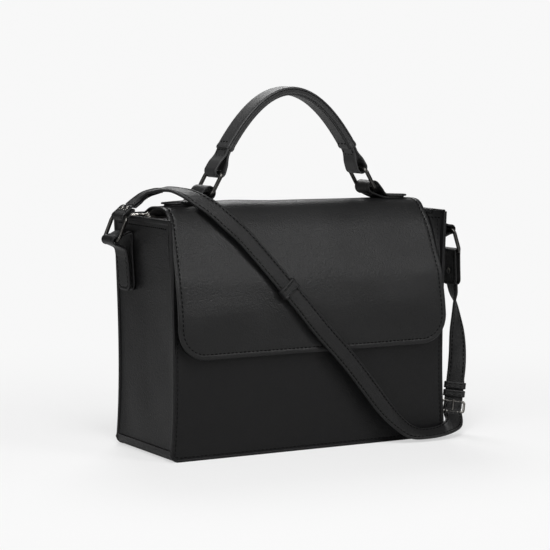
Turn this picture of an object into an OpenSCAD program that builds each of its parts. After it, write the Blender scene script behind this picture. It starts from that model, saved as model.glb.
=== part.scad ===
/* [Body] */
// Width of the bag over its gussets
body_w = 302; // [298:1:306]
// Depth of the bag over its front and back panels
body_d = 118; // [116:1:120]
// Height of the bag's top edges
body_h = 223; // [222:1:224]
// Thickness of the panels and gussets
leather = 2; // [1.8:0.1:2.2]
// Radius of the lower corners
corner_r = 12; // [11:0.5:13]
// Height at which the panels start to lean in
lean_z = 162; // [158:1:166]
// How far the panels lean in at the zip
lean_in = 27; // [26:0.5:27]
// Thickness of the stiff board in the base
board_t = 2.5; // [2:0.5:2.5]
// Thickness of the lining
lining_t = 1; // [0.8:0.1:1.2]
// Width of the binding round each edge
binding = 3; // [2.8:0.1:3.2]

/* [Flap] */
// Half the width of the flap at its lower edge
flap_half = 146; // [144:1:148]
// Half the width of the flap at the back
flap_half_back = 141; // [140:1:142]
// Radius of the flap's lower corners
flap_corner = 28; // [26:1:30]
// Thickness of the flap's leather
flap_t = 2.2; // [2:0.1:2.4]
// Thickness of the flap's lining
flap_lining_t = 1; // [0.8:0.1:1]
// Height of the flap's crest above the bag's top
flap_rise = 12.265; // [12.265:0.5:13.265]
// Radius of the fold that the flap turns about
fold_r = 1.6; // [1.5:0.1:1.7]
// How far down the back the flap's band is sewn
band_h = 24; // [20:1:28]

/* [Handle] */
// Height of the top of the handle above the bag's top
handle_rise = 122; // [120:1:124]
// Thickness of the handle
handle_t = 8.5; // [8:0.5:9]
// Width of the handle
handle_w = 24; // [23:0.5:25]
// Half the length of the handle's cover
handle_half = 68.5; // [67:0.5:69]
// Distance of the handle's plane in front of the middle
handle_y = 10; // [9:0.5:11]
// Distance of each ring's lower bar from the middle
ring_x = 90.5; // [90:0.5:91]
// Height of each handle ring's lower bar above the bag's top
ring_rise = 21; // [20.5:0.5:21.5]

/* [Rings] */
// Thickness of the wire of the rings
wire = 3.8; // [3.6:0.1:3.8]
// Clear width of each ring
ring_gap = 28; // [28:0.5:29]
// Distance between the two bars of a ring
ring_h = 24; // [23.5:0.5:24.5]
// Radius of the rings' corners
ring_corner = 5; // [4.5:0.5:5.5]
// Slack of the leather round a bar
bar_slack = 0.1; // [0.05:0.05:0.1]

/* [Side tabs] */
// Distance of each side tab from the middle
tab_y = 35; // [34:0.5:36]
// Width of the side tabs
tab_w = 26; // [25:0.5:26]
// How far the side tabs reach below the bag's top
tab_reach = 71; // [69:1:73]
// Distance of the ring's bar from the gusset
bar_out = 15; // [14.5:0.5:15.5]
// Depth of the left ring's bar below the bag's top
left_bar_drop = 22.5; // [22:0.5:23]
// Depth of the right ring's bar below the bag's top
right_bar_drop = 19.5; // [19:0.5:20]

/* [Strap] */
// Width of the shoulder strap
strap_w = 18; // [17.5:0.5:18.5]
// Thickness of the shoulder strap
strap_t = 2.6; // [2.4:0.1:2.6]
// Width of the strap's ends
strap_end_w = 25; // [24.5:0.5:25.5]
// Length of the left end beyond its ring
left_end_l = 13; // [12:0.5:13]
// Length of the right end beyond its ring
right_end_l = 33.5; // [32:0.5:33.5]

/* [Zip] */
// Half the length of the zip's teeth
zip_half = 146; // [145:1:146]
// Distance between like teeth
tooth_pitch = 4; // [4:0.5:4]
// Length of the zip slider
slider_l = 8; // [7.5:0.5:8]
// Length of the zip pull
pull_l = 18; // [17:0.5:19]

/* [Hidden] */
$fn = 48;
half = 0.5;
full = 1;
twice = 2;
straight = 180;
square_turn = 90;
cut = 1;
run = 0.3;
side_x = body_w * half;
front_y = body_d * half;
panel_x = side_x - leather;
wire_r = wire * half;
hole_r = wire_r + bar_slack;
loop_wall = 2.2;
loop_r = hole_r + loop_wall;
belly = 3.8;
belly_r = hole_r + belly;
bar_len = ring_gap + wire;
loop_w = ring_gap - twice;

// Lean of the front and back panels
pull_start = 142.5;
lean_rise = body_h - lean_z;
function clamp01(v) = min(full, max(0, v));
function lean(z) = lean_in * clamp01((z - lean_z) / lean_rise);
function drawn_in(x) =
    let (u = clamp01((panel_x - abs(x)) / (panel_x - pull_start))) u * (twice - u);
function wall_y(x, z) = front_y - lean(z) * drawn_in(x);
function corner_x(z, x, r) = z < r ? x - r + sqrt(r * r - (r - z) * (r - z)) : x;
col_shares = [
    0.0, 0.3, 0.6, 0.8, 0.92, 0.94, 0.955, 0.97, 0.985, 1.0
];
signed_shares = concat(
    [for (i = [len(col_shares) - full : -full : full]) -col_shares[i]],
    col_shares
);

// Closed skin through rings of points
function ring_sides(rings, m) = [
    for (i = [0 : len(rings) - twice]) for (k = [0 : m - full]) for (t = [0, full])
        let (a = i * m + k, b = i * m + (k + full) % m, c = a + m, d = b + m)
        t == 0 ? [a, b, d] : [a, d, c]
];
function end_strips(m, at) = [for (k = [0 : m * half - twice])
    [at + k, at + k + full, at + m - twice - k, at + m - full - k]];
function flipped(faces) = [for (f = faces) reversed(f)];
module skin(rings) {
    m = len(rings[0]);
    last = (len(rings) - full) * m;
    polyhedron(
        points = [for (r = rings) for (p = r) p],
        faces = concat(flipped(end_strips(m, 0)), ring_sides(rings, m), end_strips(m, last))
    );
}

// Front and back panels
function panel_ring(z, r) =
    let (xh = corner_x(z - panel_bottom, panel_x - run * half, r))
    concat(
        [for (s = signed_shares) [s * xh, -wall_y(s * xh, z), z]],
        [for (i = [len(signed_shares) - full : -full : 0])
            [signed_shares[i] * xh, -wall_y(signed_shares[i] * xh, z) + leather, z]]
    );
panel_bottom = binding + run * half;
low_shares = [0, 0.06, 0.2, 0.5, 1];
lean_shares = [0, 0.3333, 0.6667, 1];
module panel() {
    r = corner_r - twice;
    skin(concat(
        [for (s = low_shares) panel_ring(panel_bottom + s * r, r)],
        [for (s = lean_shares) panel_ring(lean_z + s * lean_rise, r)]
    ));
}
module front_panel() {
    color("#242426") panel();
}
module back_panel() {
    color("#242426") rotate([0, 0, straight]) panel();
}

// Gussets and base
gusset_low = corner_r + twice;
gusset_len = body_d - binding - full;
module gusset() {
    translate([panel_x, -gusset_len * half, gusset_low])
        cube([leather, gusset_len, body_h - gusset_low]);
}
module left_gusset() {
    color("#242426") mirror([full, 0, 0]) gusset();
}
module right_gusset() {
    color("#242426") gusset();
}
module u_shape(x, z, r, top) {
    translate([-x + r, z]) square([twice * (x - r), r]);
    translate([-x, z + r]) square([twice * x, top - z - r]);
    intersection() {
        union() {
            translate([-x + r, z + r]) circle(r);
            translate([x - r, z + r]) circle(r);
        }
        translate([-x, z]) square([twice * x, r]);
    }
}
module base_panel() {
    color("#222224") rotate([square_turn, 0, 0]) translate([0, 0, -gusset_len * half])
        linear_extrude(gusset_len) difference() {
            u_shape(side_x, 0, corner_r, gusset_low);
            u_shape(panel_x, leather, corner_r - leather, gusset_low + cut);
        }
}
board_gap = 14;
module base_board() {
    color("#3a3530") translate([-panel_x + board_gap, -front_y + binding + run, leather])
        cube([twice * (panel_x - board_gap), body_d - twice * (binding + run), board_t]);
}

// Bindings
module edge_binding() {
    translate([0, -front_y + binding - full, 0]) rotate([square_turn, 0, 0])
        linear_extrude(binding) difference() {
            u_shape(side_x + full, 0, corner_r + full, body_h + full);
            u_shape(panel_x, binding, corner_r - twice, body_h + cut + full);
        }
}
module front_binding() {
    color("#1e1e20") edge_binding();
}
module back_binding() {
    color("#1e1e20") rotate([0, 0, straight]) edge_binding();
}

// Lining bag
lining_low = leather + board_t;
lining_top = body_h - twice - full;
lining_gap = leather + run;
lining_x = panel_x - run;
lining_follow = 2.5;
lining_r = corner_r - leather;
function lining_levels() = concat(
    [for (s = lining_low_shares) lining_low + s * (corner_r - lining_low)],
    [for (s = lean_shares) lean_z + s * (lining_top - lean_z)]
);
lining_low_shares = [0, 0.3, 0.6, 1];
function lining_ring(z, inset) =
    let (x = corner_x(z - leather, lining_x, lining_r) - inset, g = lining_gap + inset)
    concat(
        [for (s = signed_shares) [s * x, -lining_y_at(s * x, z) + g, z]],
        [for (i = [len(signed_shares) - full : -full : 0])
            [signed_shares[i] * x, lining_y_at(signed_shares[i] * x, z) - g, z]]
    );
function lining_y_at(x, z) = wall_y(max(0, abs(x) - lining_follow), z);
module lining() {
    color("#4a4540") skin(concat(
        [for (z = lining_levels()) lining_ring(z, 0)],
        [for (z = reversed(lining_levels())) lining_ring(max(z, lining_low + lining_t), lining_t)]
    ));
}

// Zip
tape_t = 1.2;
tape_z = body_h - tape_t - run;
tape_inner = 3;
tape_outer = front_y - lean_in - leather - run;
tape_half = panel_x - run * twice;
rail_w = 1.8;
rail_t = 2;
tooth_t = 1.6;
tooth_reach = 2.2;
module zip_tape(side) {
    translate([-tape_half, min(side * tape_outer, side * tape_inner), tape_z])
        cube([twice * tape_half, tape_outer - tape_inner, tape_t]);
}
module zip_tape_front() {
    color("#161618") zip_tape(-full);
}
module zip_tape_back() {
    color("#161618") zip_tape(full);
}
teeth = floor(twice * zip_half / tooth_pitch) - full;
module zip_row() {
    translate([-zip_half, -tape_inner, tape_z])
        cube([twice * zip_half, rail_w, rail_t]);
    for (i = [0 : teeth])
        translate([-zip_half + run + i * tooth_pitch, -tape_inner + rail_w * half, tape_z])
            cube([tooth_t, rail_w * half + tooth_reach, rail_t]);
}
module zip_teeth_front() {
    color("#2c2c2e") zip_row();
}
module zip_teeth_back() {
    color("#2c2c2e") rotate([0, 0, straight]) zip_row();
}
stop_l = 2;
module zip_stops() {
    color("#4a4a4c") for (s = [0, straight]) rotate([0, 0, s])
        translate([zip_half + run, -tape_inner, tape_z])
            cube([stop_l, twice * tape_inner, rail_t]);
}

// Zip slider and its pull
slider_x = -zip_half + slider_l * half + run;
slider_w = 10;
slider_t = 1.3;
slider_z = tape_z + rail_t + run;
flange_t = 1.2;
crown_r = 0.8;
crown_w = 5;
crown_x = -2.5;
crown_z = slider_z + slider_t + twice * crown_r;
post_w = 1.2;
module zip_slider() {
    color("#58585c") translate([slider_x, 0, 0]) {
        translate([-slider_l * half, -slider_w * half, slider_z]) cube([slider_l, slider_w, slider_t]);
        for (s = [-full, full])
            translate([-slider_l * half, s * (slider_w - flange_t) * half - flange_t * half,
                tape_z + tape_t + run])
                cube([slider_l, flange_t, slider_z - tape_z - tape_t]);
        translate([crown_x, crown_w * half, crown_z]) rotate([square_turn, 0, 0])
            cylinder(r = crown_r, h = crown_w);
        for (s = [-full, full])
            translate([crown_x - post_w * half, s * (crown_w - post_w) * half - post_w * half,
                slider_z + slider_t * half])
                cube([post_w, post_w, crown_z - slider_z - slider_t * half]);
    }
}
pull_w = 2.4;
pull_end_w = 7;
pull_t = 1.8;
pull_hole = 3;
eye_gap = 0.1;
eye_wall = 0.6;
module zip_pull() {
    color("#6a6a6e") translate([slider_x + crown_x, 0, crown_z]) difference() {
        union() {
            rotate([square_turn, 0, 0]) translate([0, 0, -pull_w * half])
                cylinder(r = crown_r + eye_gap + eye_wall, h = pull_w);
            translate([-pull_l + pull_end_w * half, -pull_w * half, -pull_t * half])
                cube([pull_l - pull_end_w * half, pull_w, pull_t]);
            translate([-pull_l + pull_end_w * half, 0, -pull_t * half])
                cylinder(d = pull_end_w, h = pull_t);
        }
        rotate([square_turn, 0, 0]) translate([0, 0, -pull_w * half - cut])
            cylinder(r = crown_r + eye_gap, h = pull_w + twice * cut);
        translate([-pull_l + pull_end_w * half, 0, -pull_t * half - cut])
            cylinder(d = pull_hole, h = pull_t + twice * cut);
    }
}

// Flap
fold_y = 36;
fold_z = body_h + fold_r + run;
// Outer face of the flap over the top, as shares of the body's half depth and the flap's rise
crest_shares = [
    [0.61, 0.269], [0.35, 0.482], [0.119, 0.691], [0, 0.896], [-0.1, 0.973], [-0.203, 1],
    [-0.3, 1], [-0.373, 0.973], [-0.46, 0.855], [-0.525, 0.655], [-0.602, 0.245]
];
// Outer face of the flap down the front, as shares of the body's half depth and height
drop_shares = [
    [-0.678, 0.9848], [-0.742, 0.9552], [-0.836, 0.897], [-0.932, 0.825], [-1.042, 0.749], [-1.102, 0.677],
    [-1.14, 0.62], [-1.161, 0.5695], [-1.18, 0.5], [-1.195, 0.426]
];
flap_outer = concat(
    [for (p = crest_shares) [p[0] * front_y, body_h + p[1] * flap_rise]],
    [for (p = drop_shares) [p[0] * front_y, p[1] * body_h]]
);
function unit(v) = v / norm(v);
function left_of(v) = [-v[1], v[0]];
function side_at(pts, i) = left_of(unit(
    pts[min(i + full, len(pts) - full)] - pts[max(i - full, 0)]));
function inset(pts, d) = [for (i = [0 : len(pts) - full]) pts[i] + d * side_at(pts, i)];
function reversed(pts) = [for (i = [len(pts) - full : -full : 0]) pts[i]];
module across(len) {
    rotate([square_turn, 0, square_turn]) translate([0, 0, -len * half]) linear_extrude(len) children();
}
flap_low = flap_outer[len(flap_outer) - full][1];
module flap_outline(trim) {
    hw = flap_half - trim;
    hb = flap_half_back - trim;
    low = flap_low + trim - cut;
    r = flap_corner - trim;
    union() {
        translate([-hw + r, low + r]) circle(r);
        translate([hw - r, low + r]) circle(r);
        translate([-hw + r, low]) square([twice * (hw - r), r]);
        polygon([[-hw, low + r], [hw, low + r], [hw, lean_z], [hb, body_h],
            [hb, body_h + twice * lean_in], [-hb, body_h + twice * lean_in], [-hb, body_h], [-hw, lean_z]]);
    }
}
module flap_layer(from, to, trim) {
    intersection() {
        across(twice * (flap_half + cut))
            polygon(concat(inset(flap_outer, from), reversed(inset(flap_outer, to))));
        rotate([square_turn, 0, 0]) translate([0, 0, -twice * front_y])
            linear_extrude(twice * twice * front_y) flap_outline(trim);
    }
}
module flap_leather() {
    color("#303033") difference() {
        union() {
            flap_layer(0, flap_t, 0);
            translate([-flap_half_back, fold_y, fold_z]) rotate([0, square_turn, 0])
                cylinder(r = fold_r, h = twice * flap_half_back);
        }
        translate([-flap_half, fold_y - fold_r * half, 0])
            cube([twice * flap_half, front_y, fold_z - fold_r]);
    }
}
lining_trim = 4;
lining_y = 0.45;
module flap_lining() {
    color("#3c3834") intersection() {
        flap_layer(flap_t, flap_t + flap_lining_t, lining_trim);
        translate([-flap_half, -twice * front_y, 0])
            cube([twice * flap_half, twice * front_y + lining_y * front_y, twice * body_h]);
    }
}
magnet_r = 7;
magnet_t = 1.6;
magnet_up = 27;
magnet_x = 80;
module magnets() {
    color("#8a8a8c") for (s = [-full, full])
        translate([s * magnet_x, -front_y, flap_low + magnet_up]) rotate([square_turn, 0, 0])
            cylinder(r = magnet_r, h = magnet_t);
}
band_t = 1.6;
module flap_band() {
    color("#2a2a2c") skin([for (s = [0, half, full]) band_ring(body_h - band_h + s * band_h)]);
}
band_x = pull_start - twice;
function band_ring(z) = [
    [-band_x, wall_y(0, z), z], [-band_x, wall_y(0, z) + band_t, z],
    [band_x, wall_y(0, z) + band_t, z], [band_x, wall_y(0, z), z]
];

// Rings
ring_z = body_h + ring_rise;
left_bar_z = body_h - left_bar_drop;
right_bar_z = body_h - right_bar_drop;
module ring() {
    a = bar_len * half - ring_corner;
    for (z = [0, ring_h]) translate([0, a, z]) rotate([square_turn, 0, 0])
        cylinder(r = wire_r, h = twice * a);
    for (s = [-full, full]) translate([0, s * bar_len * half, ring_corner])
        cylinder(r = wire_r, h = ring_h - twice * ring_corner);
    for (m = [0, full]) mirror([0, m, 0]) {
        translate([0, a, ring_corner]) rotate([square_turn, 0, square_turn]) mirror([0, full, 0])
            rotate_extrude(angle = square_turn) translate([ring_corner, 0]) circle(wire_r);
        translate([0, a, ring_h - ring_corner]) rotate([square_turn, 0, square_turn])
            rotate_extrude(angle = square_turn) translate([ring_corner, 0]) circle(wire_r);
    }
}
ring_lean = 30;
module handle_ring_left() {
    color("#77777b") translate([-ring_x, -handle_y, ring_z]) rotate([0, ring_lean, 0]) ring();
}
module handle_ring_right() {
    color("#77777b") translate([ring_x, -handle_y, ring_z]) rotate([0, -ring_lean, 0]) ring();
}
left_lean = 23;
right_lean = 162;
module strap_ring_left() {
    color("#77777b") translate([-side_x - bar_out, tab_y, left_bar_z]) rotate([0, left_lean, 0]) ring();
}
module strap_ring_right() {
    color("#77777b") translate([side_x + bar_out, -tab_y, right_bar_z]) rotate([0, right_lean, 0]) ring();
}

// Hole through a leather loop, flared at both ends for the ring's corners
flare = 1.1;
flat_half = bar_len * half - ring_corner - run;
module bar_bore(extra) {
    rotate([square_turn, 0, 0]) cylinder(r = hole_r + extra, h = twice * bar_len, center = true);
    for (s = [-full, full]) translate([0, s * (flat_half + bar_len * half), 0]) rotate([square_turn, 0, 0])
        cylinder(r = hole_r + max(flare, extra), h = bar_len, center = true);
}

// Handle base tabs on the flap
base_end = 134;
base_t = 2.4;
base_start = 98;
base_foot = 104;
module base_body() {
    difference() {
        union() {
            intersection() {
                across(twice * base_end)
                    polygon(concat(flap_outer, reversed([for (p = inset(flap_outer, -base_t)) p])));
                translate([base_start, -handle_y - loop_w * half, 0]) linear_extrude(twice * body_h)
                    union() {
                        square([base_end - base_start - loop_w * half, loop_w]);
                        translate([base_end - base_start - loop_w * half, loop_w * half]) circle(d = loop_w);
                    }
            }
            translate([0, -handle_y + loop_w * half, 0]) rotate([square_turn, 0, 0]) linear_extrude(loop_w)
                union() {
                    translate([ring_x, ring_z]) circle(belly_r);
                    polygon([[ring_x, ring_z + belly_r], [base_start, ring_z + twice],
                        [base_foot, ring_z - belly_r], [base_foot + twice, ring_z - belly_r * twice],
                        [base_start - leather, ring_z - belly_r * twice], [ring_x, ring_z - belly_r]]);
                }
        }
        translate([ring_x, -handle_y, ring_z]) bar_bore(0);
        across(twice * base_end + cut)
            polygon(concat(flap_outer, [[-front_y * twice, 0], [front_y, 0]]));
    }
}
module handle_base_left() {
    color("#2a2a2c") mirror([full, 0, 0]) base_body();
}
module handle_base_right() {
    color("#2a2a2c") base_body();
}

// Handle
top_bar_x = ring_x - ring_h * sin(ring_lean);
top_bar_z = ring_z + ring_h * cos(ring_lean);
handle_top = body_h + handle_rise;
mid_top = handle_top - handle_t * half;
end_rise = 62.8;
end_z = body_h + end_rise;
handle_drop = (mid_top - end_z) / (handle_half * handle_half);
handle_steps = 32;
function mid(x) = [x, mid_top - handle_drop * x * x];
function mid_side(x) = unit([twice * handle_drop * x, full]);
function bow(d) = [for (i = [0 : handle_steps])
    let (x = -handle_half + twice * handle_half * i / handle_steps) mid(x) + d * mid_side(x)];
module handle_solid(t, w) {
    translate([0, -handle_y + w * half, 0]) rotate([square_turn, 0, 0]) linear_extrude(w)
        polygon(concat(bow(t * half), reversed(bow(-t * half))));
}
core_t = 5;
core_w = 18;
module handle_cover() {
    color("#2a2a2c") difference() {
        handle_solid(handle_t, handle_w);
        handle_solid(core_t, core_w);
    }
}
module handle_core() {
    color("#9a8a70") handle_solid(core_t, core_w);
}
chape_t = 5;
chape_w = 23;
ply_gap = 0.8;
ply_start = 8;
chape_l = norm(mid(handle_half) - [top_bar_x, top_bar_z]);
chape_dir = unit(mid(handle_half) - [top_bar_x, top_bar_z]);
chape_turn = atan2(chape_dir[1], chape_dir[0]);
module chape_body(extra) {
    difference() {
        translate([0, -handle_y + chape_w * half, 0]) rotate([square_turn, 0, 0]) linear_extrude(chape_w)
            difference() {
                union() {
                    translate([top_bar_x, top_bar_z]) circle(belly_r);
                    translate([top_bar_x, top_bar_z]) rotate(chape_turn) translate([0, -chape_t * half])
                        square([chape_l + leather, chape_t]);
                }
                translate([top_bar_x, top_bar_z]) rotate(chape_turn) translate([ply_start, -ply_gap * half])
                    square([chape_l, ply_gap]);
                polygon(concat([mid(handle_half) - twice * handle_t * mid_side(handle_half)],
                    [mid(handle_half) + twice * handle_t * mid_side(handle_half)], [[0, handle_top]]));
            }
        translate([top_bar_x, -handle_y, top_bar_z]) bar_bore(extra);
    }
}
open_pivot_gap = 1.2;
module handle_chape_left() {
    color("#262628") mirror([full, 0, 0]) chape_body(0);
}
module handle_chape_right() {
    color("#262628") chape_body(open_pivot_gap);
}

// Side tabs
tab_t = 2.4;
tab_z = body_h - tab_reach;
step_drop = 33;
tab_step = body_h - step_drop;
tab_top = 10;
module side_tab(bar_z) {
    translate([side_x, 0, 0]) difference() {
        intersection() {
            translate([0, -tab_y + tab_w * half, 0]) rotate([square_turn, 0, 0])
                linear_extrude(tab_w) union() {
                translate([bar_out, bar_z]) circle(loop_r);
                polygon([
                    [0, tab_z], [tab_t, tab_z], [tab_t, tab_step - twice], [twice * tab_t, tab_step],
                    [twice * tab_t, tab_step + twice],
                    [bar_out, bar_z - loop_r], [bar_out, bar_z + loop_r],
                    [twice * tab_t, bar_z + tab_top - twice], [0, bar_z + tab_top]
                ]);
            }
            translate([0, -tab_y, tab_z + tab_w * half]) rotate([square_turn, 0, square_turn])
                linear_extrude(twice * bar_out) union() {
                    circle(d = tab_w);
                    translate([-tab_w * half, 0]) square([tab_w, body_h - tab_z]);
                }
        }
        translate([bar_out, -tab_y, bar_z]) bar_bore(0);
    }
}
module side_tab_right() {
    color("#2a2a2c") side_tab(right_bar_z);
}
module side_tab_left() {
    color("#2a2a2c") rotate([0, 0, straight]) side_tab(left_bar_z);
}

// Ends of the strap, each folded round its ring
end_t = 6;
end_w = strap_end_w;
rivet_r = 2.6;
rivet_t = 1.2;
function left_top() = [-side_x - bar_out + ring_h * sin(left_lean), left_bar_z + ring_h * cos(left_lean)];
function right_low() = [side_x + bar_out + ring_h * sin(right_lean), right_bar_z + ring_h * cos(right_lean)];
left_dir = 42;
right_dir = -88;
module strap_end(at, y, dir, len, rivets) {
    translate([at[0], y, at[1]]) rotate([0, -dir, 0]) difference() {
        union() {
            rotate([square_turn, 0, 0]) translate([0, 0, -end_w * half]) linear_extrude(end_w) union() {
                circle(loop_r);
                translate([0, -end_t * half]) square([len, end_t]);
            }
        }
        bar_bore(0);
        for (r = rivets) translate([r[0], r[1], 0])
            cylinder(r = rivet_r - leather * half, h = twice * end_t, center = true);
    }
}
module rivet_set(at, y, dir, rivets) {
    translate([at[0], y, at[1]]) rotate([0, -dir, 0]) for (r = rivets) translate([r[0], r[1], 0]) {
        cylinder(r = rivet_r - leather * half, h = end_t, center = true);
        for (s = [0, straight]) rotate([s, 0, 0]) translate([0, 0, end_t * half])
            cylinder(r = rivet_r, h = rivet_t);
    }
}
left_rivet_in = 8;
left_rivet_half = 5;
right_rivet_in = 19.5;
left_rivets = [[left_rivet_in, left_rivet_half], [left_rivet_in, -left_rivet_half]];
right_rivets = [[right_rivet_in, 0]];
module strap_end_left() {
    color("#2a2a2c") strap_end(left_top(), tab_y, left_dir, left_end_l, left_rivets);
}
module strap_end_right() {
    color("#2a2a2c") strap_end(right_low(), -tab_y, right_dir, right_end_l, right_rivets);
}
module rivets_left() {
    color("#77777b") rivet_set(left_top(), tab_y, left_dir, left_rivets);
}
module rivets_right() {
    color("#77777b") rivet_set(right_low(), -tab_y, right_dir, right_rivets);
}

// Route of the shoulder strap, from the left ring to the right one, and the way its width points
strap_route = [
    [-146, 35, 233], [-139, 35, 238], [-134, 32, 242], [-130, 25, 245], [-128, 15, 247],
    [-125, 3, 249], [-120, -10, 249], [-114, -22, 246], [-106, -32, 240], [-96, -40, 232],
    [-85, -46, 221], [-70, -52, 206], [-54, -59, 186], [-37, -66, 164], [-19, -71, 142],
    [0, -75, 118], [28, -76, 88], [50, -76, 62], [70, -75, 38], [86, -74, 22], [101, -74, 11],
    [118, -74, 7], [134, -73, 7], [149, -69, 9], [161, -61, 12], [167, -52, 17], [169, -46, 22],
    [171, -45, 32], [173, -44, 43], [175, -43, 54], [177, -42, 65], [179, -40, 80], [179, -39, 97],
    [179, -37, 114], [178, -36, 129], [177, -35, 138], [176, -35, 145]
];
strap_across = [
    [0, 1, 0], [0, 1, 0], [0.1, 1, 0], [0.3, 1, 0], [0.6, 1, 0],
    [0.8, 0.8, 0.1], [0.8, 0.6, 0.1], [0.8, 0.5, 0.3], [0.8, 0.4, 0.5], [0.7, 0.3, 0.6],
    [0.7, 0.2, 0.6], [0.7, 0.2, 0.6], [0.7, 0.2, 0.6], [0.7, 0.2, 0.6], [0.7, 0.1, 0.6],
    [0.7, 0, 0.6], [0.7, 0, 0.6], [0.7, 0, 0.6], [0.7, 0.1, 0.6], [0.6, 0.4, 0.6], [0.3, 0.6, 0.6],
    [-0.1, 0.8, 0.5], [-0.3, 0.7, 0.6], [-0.4, 0.4, 0.7], [-0.6, 0.3, 0.6], [-0.9, 0.5, 0.1], [-0.9, 0.5, 0],
    [-0.9, 0.5, 0], [-0.9, 0.5, 0], [-0.9, 0.5, 0], [-0.9, 0.5, 0], [-1, 0.3, 0], [-1, 0, 0],
    [-0.9, -0.5, 0], [-0.6, -0.8, 0], [-0.2, -1, 0], [0, -1, 0]
];
last_stop = len(strap_route) - full;
function way(i) = unit(strap_route[min(i + full, last_stop)] - strap_route[max(i - full, 0)]);
function wide(i) = unit(strap_across[i] - way(i) * (strap_across[i] * way(i)));
function face(i) = cross(way(i), wide(i));
edge_t = strap_t * half;
edge_w = strap_w * half;
edge_in = edge_w - half;
edge_low = edge_t * half;
strap_section = [
    [edge_w, edge_low], [edge_in, edge_t], [-edge_in, edge_t], [-edge_w, edge_low],
    [-edge_w, -edge_low], [-edge_in, -edge_t], [edge_in, -edge_t], [edge_w, -edge_low]
];
module shoulder_strap() {
    color("#2a2a2c") skin([for (i = [0 : last_stop])
        [for (p = strap_section) strap_route[i] + p[0] * wide(i) + p[1] * face(i)]]);
}

// Pieces on the strap
module on_strap(spot, share) {
    at = strap_route[spot] * (full - share) + strap_route[spot + full] * share;
    t = unit(strap_route[spot + full] - strap_route[spot]);
    w = unit(strap_across[spot] - t * (strap_across[spot] * t));
    n = cross(t, w);
    multmatrix([[w[0], n[0], t[0], at[0]], [w[1], n[1], t[1], at[1]], [w[2], n[2], t[2], at[2]]]) children();
}
keeper_l = 10;
keeper_t = 1.2;
keeper_slack = 0.5;
module keeper(len, depth, shift) {
    wide_out = strap_w + twice * (keeper_slack + keeper_t);
    difference() {
        translate([-wide_out * half, -depth * half + shift, -len * half]) cube([wide_out, depth, len]);
        translate([-wide_out * half + keeper_t, -depth * half + keeper_t + shift, -len * half - cut])
            cube([wide_out - twice * keeper_t, depth - twice * keeper_t, len + twice * cut]);
    }
}
one_ply = strap_t + twice * (keeper_slack + keeper_t);
two_ply = one_ply + strap_t + keeper_slack;
ply_shift = (strap_t + keeper_slack) * half;
keeper_spot = 13;
keeper_share = 0.35;
module strap_keeper() {
    color("#242426") on_strap(keeper_spot, keeper_share) keeper(keeper_l, one_ply, 0);
}
buckle_spot = 28;
upper_share = 0.32;
lower_share = 0.6;
small_l = 6.5;
module buckle_keeper_upper() {
    color("#242426") on_strap(buckle_spot, upper_share) keeper(small_l, two_ply, ply_shift);
}
module buckle_keeper_lower() {
    color("#242426") on_strap(buckle_spot - full, lower_share) keeper(small_l, two_ply, ply_shift);
}
tail_l = 18;
tail_share = 0.05;
module strap_tail() {
    color("#2a2a2c") on_strap(buckle_spot, tail_share) translate([0, strap_t + run, 0])
        translate([-strap_w * half, -strap_t * half, -tail_l * half]) cube([strap_w, strap_t, tail_l]);
}
frame_w = strap_w + twice * wire;
frame_l = 11;
frame_bar = 2;
frame_share = 0.58;
frame_shift = strap_t * half + twice * run + frame_bar * half;
module buckle_frame() {
    color("#77777b") on_strap(buckle_spot - twice, frame_share) translate([0, frame_shift, 0]) difference() {
        translate([-frame_w * half, -frame_bar * half, -frame_l * half]) cube([frame_w, frame_bar, frame_l]);
        translate([-frame_w * half + frame_bar, -frame_bar, -frame_l * half + frame_bar])
            cube([frame_w - twice * frame_bar, twice * frame_bar, frame_l - twice * frame_bar]);
    }
}

front_panel();
back_panel();
left_gusset();
right_gusset();
base_panel();
base_board();
front_binding();
back_binding();
lining();
zip_tape_front();
zip_tape_back();
zip_teeth_front();
zip_teeth_back();
zip_stops();
zip_slider();
zip_pull();
flap_leather();
flap_lining();
flap_band();
magnets();
handle_ring_left();
handle_ring_right();
strap_ring_left();
strap_ring_right();
handle_base_left();
handle_base_right();
handle_cover();
handle_core();
handle_chape_left();
handle_chape_right();
side_tab_left();
side_tab_right();
strap_end_left();
strap_end_right();
rivets_left();
rivets_right();
shoulder_strap();
strap_keeper();
buckle_keeper_upper();
buckle_keeper_lower();
strap_tail();
buckle_frame();
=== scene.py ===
"""Dresses the top handle bag: leather body, flap, handle, shoulder strap, zip and metal fittings."""

import math

import bpy
import numpy as np
from bpy.props import FloatProperty, FloatVectorProperty, PointerProperty
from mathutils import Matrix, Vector, noise


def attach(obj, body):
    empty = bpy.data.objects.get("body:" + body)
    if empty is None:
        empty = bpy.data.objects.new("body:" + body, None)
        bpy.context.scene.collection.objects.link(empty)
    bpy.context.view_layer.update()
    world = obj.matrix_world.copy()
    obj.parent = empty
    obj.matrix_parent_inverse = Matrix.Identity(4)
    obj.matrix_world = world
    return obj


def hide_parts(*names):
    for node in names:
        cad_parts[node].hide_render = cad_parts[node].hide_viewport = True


bl_info = {
    "name": "Top handle bag",
    "version": (1, 0, 0),
    "blender": (4, 5, 0),
    "location": "3D View > Sidebar > Bag",
    "description": "Builds the leather, stitching, zip and metal of a top handle bag on its frame",
    "category": "Object",
}

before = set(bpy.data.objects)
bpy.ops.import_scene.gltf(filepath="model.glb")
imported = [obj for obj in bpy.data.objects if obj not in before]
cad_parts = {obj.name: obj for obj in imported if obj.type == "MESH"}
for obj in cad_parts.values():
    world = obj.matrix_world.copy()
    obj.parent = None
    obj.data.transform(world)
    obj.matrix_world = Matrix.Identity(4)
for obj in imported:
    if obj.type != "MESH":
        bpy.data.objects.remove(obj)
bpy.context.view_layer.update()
MM = 0.001


# ---------------------------------------------------------------- sizes and colours


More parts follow.
